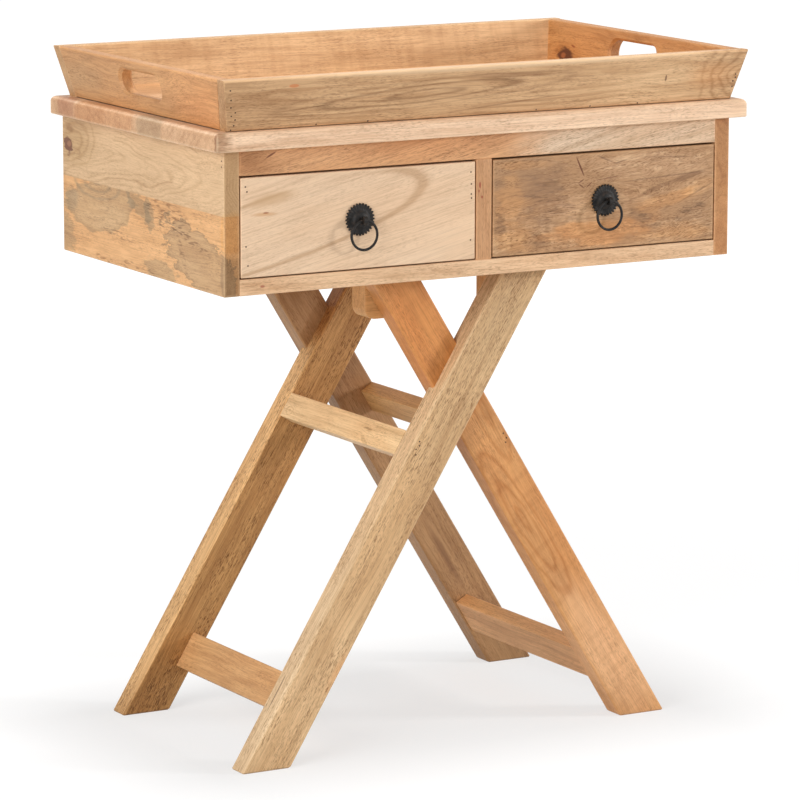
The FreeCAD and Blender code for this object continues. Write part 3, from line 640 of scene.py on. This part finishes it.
# %% The top, rails and back of the chest
red_fleck = (150, 60, 40)
top_marks = [
    stain((-1, 0, -0.8), (0.02, 0.03, 0.026), (0.76, 0.62, 0.58), 0.9, 0.8, 60, 0.4),
    stain((-1, 0, -0.35), (0.02, 0.03, 0.078), (0.92, 0.78, 0.66), 0.9, 0.3, 60, 0.15),
    stain((-1, 0, 0.21), (0.02, 0.03, 0.033), (0.7, 0.74, 0.74), 0.8, 0.4, 60, 0.25),
    stain((-1, 0, 0.99), (0.02, 0.02, 0.005), (0.52, 0.42, 0.34), 0.9, 1.2, 200, 0.5)]
dress_board("top_panel", flat, (232, 198, 168), 8, top_marks, strip=0.066, blush=(0.97, 0.91, 0.84),
            rings=0.35, streaks=0.4, patches=0.3, pores=0.4, ends=(0.74, 0.66, 0.57))
top_rail_marks = [
    spot((-0.874, -1, 0.48), (0.009, 0.01, 0.0012), (112, 58, 40), 0.85, 0.6, 200, 0.5, 28),
    stain((0.72, -1, 0), (0.21, 0.03, 0.06), (1.06, 1.46, 2.1), 1.0, 0.8, 30, 0.45),
    stain((-0.96, -1, 0), (0.05, 0.03, 0.04), (0.66, 0.58, 0.5), 0.9, 0.8, 40, 0.9)]
dress_board("top_rail", along_x, (204, 155, 111), 9, top_rail_marks,
            slant=12, blushes=0.6, pores=0.5, streaks=0.35)
dress_board("bottom_panel", flat, (215, 180, 144), 10,
            [spot((-0.91, 0, 1), (0.004, 0.002, 0.01), red_fleck, 0.7, 0.5, 200, 0.6)],
            strip=0.066, blushes=0.35, pores=0.45, slant=4)
back_marks = [
    eye((-0.42, 1, 0.52), (0.13, 0.02, 0.028), (0.7, 0.62, 0.54), 4, 0.6, 0.8, 25, 3),
    spot((-0.42, 1, 0.52), (0.011, 0.02, 0.007), knot_brown, 0.85, 1.2, 120, 0.4),
    eye((0.46, 1, -0.5), (0.16, 0.02, 0.026), (0.7, 0.62, 0.54), 3, 0.6, 0.8, 25, -3),
    stain((0.8, 1, 0.55), (0.08, 0.02, 0.022), grey, 0.9, 1.2, 100, 0.2, 8)]
dress_board("back_panel", along_x, (212, 172, 132), 11, back_marks, rings=0.7, streaks=0.5,
            second={"tone": (214, 168, 122), "seam": 0.05, "blushes": 0.4})
partition_marks = [
    spot((0.487, -1, 0.55), (0.004, 0.01, 0.0014), red_fleck, 0.8, 0.9, 300, 0.4),
    spot((0.247, -1, 0.284), (0.002, 0.01, 0.0016), red_fleck, 0.8, 0.9, 300, 0.4),
    spot((0.37, -1, 0.677), (0.002, 0.01, 0.0012), red_fleck, 0.7, 0.9, 300, 0.4)]
dress_board("drawer_partition", upright, (197, 151, 110), 12, partition_marks, blushes=0.5)
print("chest boards dressed")

# %% [markdown]
# The two drawer fronts come from different logs. The left one is pale, cut almost along a slanting pith,
# so one long hairpin of a growth ring crosses it: a very wide ring, drawn as a thin line.

# %% The left drawer front
left_front_marks = [
    spot((-0.79, -1, 0.275), (0.0045, 0.01, 0.0012), (142, 52, 30), 0.85, 0.4, 200, 0.6),
    spot((-0.8, -1, 0.25), (0.018, 0.01, 0.003), (196, 140, 88), 0.55, 0.8, 120, 0.8),
    spot((-0.72, -1, 0.55), (0.04, 0.02, 0.01), (200, 162, 122), 0.65, 1.2, 60, 0.7, 12)]
dress_board("left_drawer_front", along_x, (214, 184, 153), 13, left_front_marks,
            pith=(-0.1, -0.009, -0.005), lean=0.195, ring=0.072, line=160.0, swirl=0.006, slant=13,
            rings=1.0, streaks=0.16, patches=0.22, mottle=0.12, pores=0.2, blushes=0.4,
            blush=(1.02, 0.95, 0.88))
print("left drawer front dressed")

# %% [markdown]
# The right front is darker, with smoky patches, an orange glow and a jagged crack. Such a face is painted
# like a picture: broad soft stains first, dark and light, then short dark lines along the grain, and last
# the crack, as a few hair-thin strokes.

# %% The right drawer front
crack_red = (108, 62, 38)
smoky = (0.62, 0.6, 0.6)
right_front_marks = [
    stain((-0.66, -1, 0.52), (0.06, 0.02, 0.028), (0.8, 0.8, 0.84), 1.0, 2.4, 110, 0.6, 0, 0.4),
    stain((-0.52, -1, 0.02), (0.04, 0.02, 0.03), (0.74, 0.73, 0.76), 1.0, 2.6, 120, 0.6, -35, 0.4),
    stain((-0.84, -1, 0.12), (0.022, 0.02, 0.036), (1.18, 1.14, 1.04), 1.0, 2.0, 90, 0.5),
    stain((-0.8, -1, 0.86), (0.04, 0.02, 0.007), (1.2, 1.14, 1.02), 0.9, 1.6, 90, 0.6),
    stain((-0.934, -1, -0.28), (0.009, 0.02, 0.024), smoky, 1.0, 2.6, 200, 0.7, 0, 0.5),
    stain((-0.59, -1, -0.72), (0.019, 0.02, 0.012), (0.46, 0.42, 0.4), 1.0, 2.6, 200, 0.8, 55, 0.5),
    stain((-0.8, -1, -0.7), (0.032, 0.02, 0.018), (1.16, 1.1, 0.98), 1.0, 1.4, 90, 0.6),
    stain((-0.05, -1, -0.66), (0.085, 0.02, 0.017), (1.2, 1.05, 0.86), 1.0, 1.6, 80, 0.5, 3),
    stain((-0.16, -1, -0.14), (0.05, 0.02, 0.016), (1.08, 1.1, 1.14), 1.0, 1.6, 90, 0.6, -12),
    stain((0.38, -1, -0.46), (0.028, 0.02, 0.015), smoky, 1.0, 2.6, 200, 0.8, -15, 0.5),
    stain((0.8, -1, -0.38), (0.03, 0.02, 0.012), smoky, 1.0, 2.6, 200, 0.8, 22, 0.6),
    stain((0.55, -1, -0.1), (0.052, 0.02, 0.01), (1.2, 1.1, 0.94), 0.9, 1.6, 100, 0.5, 12),
    stain((0.66, -1, -0.78), (0.06, 0.02, 0.012), (1.16, 1.08, 0.94), 0.9, 1.4, 90, 0.6),
    stain((0.42, -1, 0.66), (0.095, 0.02, 0.017), (1.16, 1.22, 1.32), 1.0, 1.0, 70, 0.5, -4),
    stain((0.86, -1, 0.1), (0.034, 0.02, 0.01), (1.18, 1.16, 1.1), 0.9, 1.4, 90, 0.6, 16),
    stain((0.00, -1, 0.86), (0.017, 0.02, 0.0014), smoky, 0.9, 0.8, 90, 0.7, -22),
    stain((0.13, -1, 0.77), (0.012, 0.02, 0.0014), smoky, 0.9, 0.8, 90, 0.7, 14),
    stain((0.62, -1, 0.8), (0.05, 0.02, 0.0012), smoky, 0.8, 0.9, 90, 0.7, -3),
    stain((0.52, -1, 0.4), (0.07, 0.02, 0.0012), smoky, 0.9, 0.9, 90, 0.7, 3),
    stain((0.76, -1, 0.36), (0.03, 0.02, 0.004), (0.6, 0.54, 0.5), 0.9, 1.2, 120, 0.6, 14),
    stain((0.46, -1, 0.16), (0.05, 0.02, 0.003), (0.64, 0.58, 0.54), 0.8, 1.4, 120, 0.6, 18),
    stain((0.84, -1, 0.02), (0.036, 0.02, 0.0014), smoky, 0.8, 1.0, 90, 0.7, 24),
    spot((-0.223, -1, 0.73), (0.0013, 0.01, 0.0143), crack_red, 1.0, 0.3, 300, 0.5, 25),
    spot((-0.212, -1, 0.434), (0.0052, 0.01, 0.0011), crack_red, 0.8, 0.3, 300, 0.6, 28),
    spot((-0.211, -1, 0.327), (0.0056, 0.01, 0.0011), crack_red, 0.8, 0.3, 300, 0.6, -35),
    spot((-0.143, -1, 0.343), (0.0066, 0.01, 0.0011), crack_red, 0.8, 0.3, 300, 0.6, 38),
    spot((0.04, -1, 0.46), (0.021, 0.01, 0.001), crack_red, 0.6, 0.4, 200, 0.6, 6)]
dress_board("right_drawer_front", along_x, (189, 151, 113), 14, right_front_marks,
            pith=(-0.02, 0.012, -0.008), lean=0.14, ring=0.0065, line=3.0, swirl=0.05, rings=1.4, streaks=0.6,
            patches=0.6, curl=0.4, mottle=0.6, pores=0.7, blushes=0.4, slant=6)
print("right drawer front dressed")

# %% [markdown]
# Behind the fronts, the drawers are boxes of plain pale boards without marks. A new seed for each board
# is enough to make its grain differ from its neighbours'.

# %% The drawer boxes
lining_tone = (208, 172, 134)
lining_turns = {"left_side": along_y, "right_side": along_y, "back": along_x, "bottom": flat}
first_seeds = {"left": 20, "right": 25}
for side, first_seed in first_seeds.items():
    for order, (piece, turn) in enumerate(lining_turns.items()):
        dress_board(f"{side}_drawer_{piece}", turn, lining_tone, first_seed + order, blushes=0.3)
print("drawer boxes dressed")

# %% [markdown]
# The stand's legs lean, and their grain leans with them. The left pair is tan with clear pores, the right
# front leg glows orange, and the stretchers were cut from whatever was at hand.
# On the left pair the lit narrow sides are painted paler: painted light.

# %% The stand
leg_splay = 31.6
left_lean = (0, leg_splay - 90, 0)
right_lean = (0, -90 - leg_splay, 0)
left_front_leg_marks = [
    spot((-0.705, 0.134, 1), (0.03, 0.0012, 0.01), crack_brown, 0.8, 0.4, 200, 0.5),
    spot((-0.55, -1, -0.9), (0.035, 0.01, 0.01), orange_heart, 0.4, 0.9, 60, 0.8),
    stain((-0.72, 0, 0), (0.14, 0.06, 0.06), (1.18, 1.22, 1.28), 1.0, 0.8, 30, 0.8),
    stain((0.85, -1, 0), (0.12, 0.05, 0.05), (0.92, 0.94, 0.96), 1.0, 0.8, 30, 0.8),
    # Painted light: the lit narrow side, facing up and left, made paler.
    stain((0, 0, 1), (0.4, 0.05, 0.003), (1.09, 1.18, 1.32), 0.9, 0.2, 60, 0.3)]
dress_board("left_front_leg", left_lean, (205, 170, 127), 31, left_front_leg_marks,
            pith=(0.1, 0.06, 0.01), lean=0.03, ring=0.008, rings=0.4, streaks=0.45, patches=0.4, mottle=0.1,
            pores=0.75, blushes=0.3)
# The first mark paints the lit narrow side much paler: painted light. The second darkens the upper end of
# that side to a deep orange: partly the wood's own tone, partly painted shade.
dress_board("left_rear_leg", left_lean, (177, 133, 81), 32,
            [stain((-0.25, 0, 1), (0.27, 0.05, 0.003), (1.84, 2.18, 2.9), 0.9, 0.2, 60, 0.3),
             stain((0.78, 0, 1), (0.11, 0.05, 0.004), (0.8, 0.62, 0.46), 0.9, 0.4, 60, 0.3)],
            streaks=0.6, patches=0.4, mottle=0.15, pores=1.1, blushes=0.35)
right_front_leg_marks = [
    stain((0.72, -1, 0), (0.13, 0.05, 0.05), (0.94, 0.8, 0.64), 1.0, 0.9, 40, 0.7),
    eye((-0.06, -1, 0.35), (0.12, 0.05, 0.02), (0.8, 0.68, 0.54), 3, 0.8, 0.9, 24, 3),
    eye((0.36, -1, -0.6), (0.09, 0.05, 0.016), (0.8, 0.68, 0.54), 2, 0.7, 0.9, 24, -3),
    stain((0.7, -1, 0.1), (0.02, 0.05, 0.0012), (1.22, 1.26, 1.3), 0.4, 0.5, 90, 0.6, 20),
    stain((0.62, -1, -0.1), (0.024, 0.05, 0.0012), (1.22, 1.26, 1.3), 0.4, 0.5, 90, 0.6, -35),
    stain((-0.7, -1, 0), (0.14, 0.05, 0.05), (1.18, 1.36, 1.85), 1.0, 0.9, 30, 0.8)]
dress_board("right_front_leg", right_lean, (205, 149, 94), 33, right_front_leg_marks,
            curl=0.25, rings=0.3, streaks=0.3, patches=0.4, pores=0.35, blushes=0.6)
dress_board("right_rear_leg", right_lean, (166, 127, 87), 34,
            [spot((-0.45, -1, 0.2), (0.08, 0.03, 0.006), (118, 78, 50), 0.6, 0.9, 60, 0.8)],
            streaks=0.5, pores=0.5, blushes=0.4)
stretcher_tones = {
    "left_upper": (230, 196, 149), "left_lower": (208, 162, 112),
    "right_upper": (190, 150, 100), "right_lower": (207, 157, 107)}
first_stretcher_seed = 35
first_ear_seed = 40
ear_tone = (212, 164, 108)
stretcher_marks = {"left_upper": [
    eye((0.88, 1, 0.0), (0.01, 0.02, 0.006), (0.74, 0.66, 0.56), 2, 0.7, 0.6, 90),
    stain((-0.42, 1, 0.45), (0.02, 0.02, 0.004), (0.6, 0.52, 0.44), 0.9, 1.4, 160, 0.5, 10, 0.8),
    stain((-0.5, 1, -0.4), (0.024, 0.02, 0.003), (0.58, 0.5, 0.42), 0.9, 1.4, 160, 0.5, 24, 0.5)]}
for order, (name, tone) in enumerate(stretcher_tones.items()):
    marks = stretcher_marks.get(name, ())
    dress_board(f"{name}_stretcher", along_y, tone, first_stretcher_seed + order, marks, blushes=0.35)
for order, ear in enumerate([name for name in nodes if name.endswith("_ear")]):
    dress_board(ear, along_x, ear_tone, first_ear_seed + order, ends=(0.95, 0.88, 0.76))
print("stand boards dressed")

# %% [markdown]
# The pulls are forged iron with a black wax finish: nearly matt, slightly lumpy, with brown showing on
# high spots. The bolts and nuts out of sight are plain zinc steel.

# %% Black iron and plain steel
lump_noise = ((260, 260, 260), 3.0, (0, 0, 0))
pit_noise = ((1400, 1400, 1400), 2.0, (3, 1, 2))
worn_range = (0.45, 0.75)
pit_dulling = 0.2
pit_height_share = 0.3
lump_strength = 0.4


def metal(name, ground, worn, roughness, metallic, gloss, lump):
    """Noise moves the colour between its ground and worn tones, and lifts the surface a little."""
    material = bpy.data.materials.new(name)
    material.use_nodes = True
    tree = material.node_tree
    place = put(tree, "ShaderNodeTexCoord", {}).outputs["Object"]
    coarse = noise(tree, place, *lump_noise).outputs[0]
    fine = noise(tree, place, *pit_noise).outputs[0]
    share = ramp(tree, coarse, *worn_range)
    colour = blend(tree, share, linear(ground), linear(worn))
    dull = sum_of(tree, "MULTIPLY_ADD", fine, pit_dulling, roughness)
    height = sum_of(tree, "MULTIPLY_ADD", fine, pit_height_share, coarse)
    values = {"Strength": lump_strength, "Distance": lump, "Height": height}
    bump = put(tree, "ShaderNodeBump", values).outputs[0]
    fill(tree, tree.nodes["Principled BSDF"], {
        "Base Color": colour, "Roughness": dull, "Normal": bump, "Metallic": metallic,
        "Specular IOR Level": gloss})
    return material


iron = metal("black_iron", (14, 11, 9), (50, 40, 33),
             roughness=0.46, metallic=0.0, gloss=0.3, lump=0.0008)
old_nail = metal("old_nail", (58, 40, 30), (92, 66, 46),
                 roughness=0.5, metallic=0.2, gloss=0.4, lump=0.0001)
steel = metal("zinc_steel", (150, 150, 148), (120, 118, 114),
              roughness=0.3, metallic=0.9, gloss=0.5, lump=0.0001)
iron_words = ("rosette", "eye", "ring")
steel_words = ("bolt", "bolts", "nut", "nuts")
for name, piece in nodes.items():
    last = name.split("_")[-1]
    if last in iron_words or last in steel_words:
        for slot in piece.material_slots:
            slot.material = iron if last in iron_words else steel
print("metal pieces:", [name for name in nodes if name.split("_")[-1] in iron_words + steel_words])

# %% [markdown]
# The rosette behind each ring is a stamped disc: a dome in the middle, a shallow dish round it, and a rim
# of rounded teeth whose flutes run inwards. On a grid of turn and distance from the middle that is one
# formula, a profile whose rim is rippled by a cosine. The mesh stands for the plainer solid of the
# construction model.

# %% Make the rosettes
def grid_mesh(name, points, material, capped):
    """A mesh over grids of points: columns close; rows close too, or each grid's end rows are filled."""
    number = np.arange(points[..., 0].size).reshape(points.shape[:3])
    along = number if capped else np.concatenate([number, number[:, :1]], axis=1)
    around = np.concatenate([along, along[:, :, :1]], axis=2)
    corners = [around[:, :-1, :-1], around[:, 1:, :-1], around[:, 1:, 1:], around[:, :-1, 1:]]
    faces = np.stack(corners, axis=-1).reshape(-1, 4).tolist()
    if capped:
        faces += number[:, 0].tolist() + number[:, -1, ::-1].tolist()
    mesh = bpy.data.meshes.new(name)
    mesh.from_pydata(points.reshape(-1, 3), [], faces)
    mesh.materials.append(material)
    return mesh


def show(mesh, body):
    """Puts a mesh into the scene as a piece that rides on a body and takes its finish from a slot."""
    mesh.shade_smooth()
    piece = bpy.data.objects.new(mesh.name, mesh)
    bpy.context.scene.collection.objects.link(piece)
    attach(piece, body)
    print(piece.name, "faces:", len(mesh.polygons))
    return piece


tooth_count = 28
steps_per_tooth = 8
flute_share = 0.06
flute_start_share = 0.55
flute_lift_share = 1.6
profile_out_shares = np.array([
    1.0, 1.0, 0.985, 0.94, 0.88, 0.8, 0.72, 0.62, 0.56, 0.5, 0.42, 0.3, 0.16, 0.04])
profile_up_shares = np.array([
    0.0, 0.2, 0.3, 0.36, 0.37, 0.34, 0.32, 0.36, 0.52, 0.68, 0.83, 0.94, 0.99, 1.0])


def rosette_surface(middle, radius, height):
    """Profile turned about the middle; cos(teeth x turn) ripples its radius and lifts it as well."""
    turn = np.linspace(0, math.tau, tooth_count * steps_per_tooth, endpoint=False)
    fluting = flute_share * np.clip((profile_out_shares - flute_start_share) / (1 - flute_start_share), 0, 1)
    ripple = fluting[:, None] * np.cos(tooth_count * turn)
    reach = radius * profile_out_shares[:, None] * (1 - flute_share + ripple)
    lift = height * profile_up_shares[:, None] * (1 + flute_lift_share * ripple)
    return middle + np.stack([reach * np.sin(turn), -lift, reach * np.cos(turn)], axis=-1)


for side in ("left", "right"):
    low, high = (np.array(corner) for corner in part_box(f"{side}_rosette"))
    back_middle = np.array([(low[0] + high[0]) / 2, high[1], (low[2] + high[2]) / 2])
    points = rosette_surface(back_middle, (high[0] - low[0]) / 2, high[1] - low[1])
    mesh = grid_mesh(f"{side}_toothed_rosette", points[None], iron, True)
    rosette = show(mesh, f"{side}_drawer")
    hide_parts(f"{side}_rosette")

# %% [markdown]
# Each ring was bent from wire by hand, so its thickness and its circle wander a little. A ring is a small
# circle carried round a large one; two cosines of the turn make the wander.

# %% Make the rings
wire_wander_share = 0.07
wire_waves = 3
wire_phase = 1
bend_wander_share = 0.012
bend_waves = 2
ring_steps = 96
wire_steps = 18


def ring_surface(middle, radius, wire):
    """Point = large circle x wandering radius + small circle x wandering wire, in the plane of x and z."""
    turn = np.linspace(0, math.tau, ring_steps, endpoint=False)[:, None]
    wrap = np.linspace(0, math.tau, wire_steps, endpoint=False)[None, :]
    thick = wire * (1 - wire_wander_share * (1 + np.cos(wire_waves * turn + wire_phase)) / 2)
    bend = (radius - wire) * (1 - bend_wander_share * (1 - np.cos(bend_waves * turn)) / 2)
    out = bend + thick * np.cos(wrap)
    return middle + np.stack([out * np.sin(turn), thick * np.sin(wrap), out * np.cos(turn)], axis=-1)


for side in ("left", "right"):
    low, high = (np.array(corner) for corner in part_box(f"{side}_ring"))
    points = ring_surface((low + high) / 2, (high[2] - low[2]) / 2, (high[1] - low[1]) / 2)
    mesh = grid_mesh(f"{side}_wire_ring", points[None], iron, False)
    ring = show(mesh, f"{side}_ring")
    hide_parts(f"{side}_ring")

# %% [markdown]
# Small brads hold the tray corners, the left drawer front, the left side and the upper stretchers; only
# their heads show, as dark dots in crooked rows. One head is a low dome. Copying it to each place is a
# single sum over arrays: every head's points are turned with its board and moved to its place.

# %% Make the nail heads
head_radius = 0.0009
head_rise = 0.0004
head_sink = 0.0003
head_steps = 10
head_climb_shares = np.array([0.0, 0.0, 0.5, 0.95])
near_face = -1
far_face = 1


def head_dome():
    """A low dome on a sunk foot: radius falls as the cosine and height rises as the sine of one angle."""
    turn = np.linspace(0, math.tau, head_steps, endpoint=False)[None, :]
    climb = head_climb_shares[:, None] * math.pi / 2
    foot = np.array([-head_sink, 0, 0, 0])[:, None]
    out = head_radius * np.cos(climb)
    rise = foot + head_rise * np.sin(climb)
    return np.stack([out * np.sin(turn), -rise + 0 * turn, out * np.cos(turn)], axis=-1)


def nail_heads(name, rows, body):
    """Head = board axes x (dome + place) + board middle; on the far face the dome is turned half round."""
    dome = head_dome()
    heads = []
    for node, turn, face, shares in rows:
        turn, centre, half = board_frame(node, turn)
        places = np.insert(np.array(shares), 1, face, axis=1) * half
        facing = np.array([-face, -face, 1])
        local = dome[None] * facing + places[:, None, None, :]
        heads.append(local @ np.array(turn.to_matrix()).T + centre)
    return show(grid_mesh(name, np.concatenate(heads), old_nail, True), body)


wall_taper_share = 0.0374


def corner_shares(rows):
    """Places by the sloping ends of a tray wall, from shares: which end, how far in from it, the height."""
    return [(end * (1 - wall_taper_share * (1 - across) / 2 - inset), across) for end, inset, across in rows]


# Places along and across a board, as shares of its half sizes.
tray_nail_shares = corner_shares([
    (-1, 0.022, 0.66), (-1, 0.023, 0.31), (-1, 0.021, 0.04), (-1, 0.036, -0.15), (-1, 0.021, -0.27),
    (-1, 0.034, -0.41), (-1, 0.028, -0.62), (-1, 0.016, -0.78),
    (1, 0.018, 0.1), (1, 0.014, -0.03), (1, 0.019, -0.16), (1, 0.014, -0.37)])
tray_nail_shares += [(along, -0.77) for along in (-0.64, -0.449, 0.19, 0.4, 0.587)]
drawer_nail_shares = [
    (-0.961, 0.825), (-0.948, 0.723), (-0.958, -0.374), (-0.942, -0.757),
    (0.962, 0.791), (0.966, 0.545), (0.966, 0.34), (0.968, 0.257), (0.96, -0.604)]
left_leg_nail_shares = [(0.257, 0.78), (0.245, 0.68), (0.228, 0.76), (0.212, 0.64)]
right_leg_nail_shares = [(0.24, -0.81), (0.219, -0.84), (0.208, -0.7)]
side_nail_shares = [(-0.975, 0.86), (-0.975, 0.78)]

nail_heads("tray_nails", [
    ("tray_front_wall", (wall_lean, 0, 0), near_face, tray_nail_shares),
    ("tray_back_wall", (-wall_lean, 0, 0), far_face, tray_nail_shares)], "tray")
nail_heads("drawer_nails", [("left_drawer_front", along_x, near_face, drawer_nail_shares)], "left_drawer")
nail_heads("stand_nails", [
    ("left_front_leg", left_lean, near_face, left_leg_nail_shares),
    ("left_rear_leg", left_lean, far_face, left_leg_nail_shares),
    ("right_front_leg", right_lean, near_face, right_leg_nail_shares),
    ("right_rear_leg", right_lean, far_face, right_leg_nail_shares),
    ("left_side", along_y, far_face, side_nail_shares)], "chest_and_stand")

# %% [markdown]
# A soft box overhead, a broad light from the left front and a pale room give the flat, even light of a
# catalogue photograph. A smaller lamp at the right front lets the rings throw faint shadows on the drawer
# fronts. The room shines weakly on the table, but looks white to the camera and to gloss.

# %% Studio light
def soft_light(name, place, target, size, power):
    """A square lamp that looks at a point."""
    lamp = bpy.data.lights.new(name, "AREA")
    lamp.size = size
    lamp.energy = power
    holder = bpy.data.objects.new(name, lamp)
    holder.location = place
    holder.rotation_euler = (Vector(target) - Vector(place)).to_track_quat("-Z", "Y").to_euler()
    bpy.context.scene.collection.objects.link(holder)
    return holder


table_middle = (np.array(cad_low) + np.array(cad_high)) / 2
lamps = {
    "overhead": {"place": (0, 0, 5), "target": (0, 0, 0), "size": 1.0, "power": 136},
    "left_front": {"place": (-3.4, -1.5, 1.7), "target": table_middle, "size": 2.4, "power": 98},
    "right_front": {"place": (2.8, -1.8, 1.15), "target": table_middle, "size": 0.5, "power": 54},
}
for name, lamp in lamps.items():
    soft_light(name, **lamp)

room_level = 0.38
world = bpy.data.worlds.new("pale_room")
world.use_nodes = True
bpy.context.scene.world = world
room = world.node_tree


def white_rays(tree):
    """1 for rays that should meet a white studio: straight from the camera, off gloss, or through glass."""
    seen = put(tree, "ShaderNodeLightPath", {}).outputs
    direct = sum_of(tree, "MAXIMUM", seen["Is Camera Ray"], seen["Is Transmission Ray"])
    return sum_of(tree, "MAXIMUM", direct, seen["Is Glossy Ray"])


strength = sum_of(room, "MULTIPLY_ADD", white_rays(room), 1 - room_level, room_level)
fill(room, room.nodes["Background"], {"Color": (1, 1, 1, 1), "Strength": strength})
bpy.context.scene.view_settings.view_transform = "Standard"
print("lamps:", list(lamps))

# %% [markdown]
# To the camera the floor is mostly a white glow with a little matt paint, so that only a soft grey shadow
# is left on it. To all other rays it is a plain pale floor, which throws ordinary light back up at the
# table.

# %% The floor
floor_half = 14
plain_paint = (0.6, 0.6, 0.59, 1)
camera_paint = (0.34, 0.34, 0.34, 1)
near_glow = 0.62
far_glow = 0.9
near_reach = 0.7
far_reach = 3.5
floor_corners = [(-floor_half, -floor_half, 0), (floor_half, -floor_half, 0),
                 (floor_half, floor_half, 0), (-floor_half, floor_half, 0)]
floor_mesh = bpy.data.meshes.new("floor")
floor_mesh.from_pydata(floor_corners, [], [(0, 1, 2, 3)])
floor = bpy.data.objects.new("floor", floor_mesh)
bpy.context.scene.collection.objects.link(floor)
floor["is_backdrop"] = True
pale_floor = bpy.data.materials.new("pale_floor")
pale_floor.use_nodes = True
tree = pale_floor.node_tree
tree.nodes.remove(tree.nodes["Principled BSDF"])
plain = put(tree, "ShaderNodeBsdfDiffuse", {"Color": plain_paint}).outputs[0]
thin = put(tree, "ShaderNodeBsdfDiffuse", {"Color": camera_paint}).outputs[0]
place = put(tree, "ShaderNodeTexCoord", {}).outputs["Object"]
away = ramp(tree, vector_of(tree, "LENGTH", place), near_reach, far_reach)
level = sum_of(tree, "MULTIPLY_ADD", away, far_glow - near_glow, near_glow)
glow = put(tree, "ShaderNodeEmission", {"Strength": level}).outputs[0]
lit = put(tree, "ShaderNodeAddShader", {0: thin, 1: glow}).outputs[0]
both = put(tree, "ShaderNodeMixShader", {0: white_rays(tree), 1: plain, 2: lit}).outputs[0]
fill(tree, tree.nodes["Material Output"], {"Surface": both})
floor_mesh.materials.append(pale_floor)
print("floor across:", 2 * floor_half)

# %% [markdown]
# Last, we measure the box of the dressed table.

# %% Measure the dressed table's box
low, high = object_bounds()
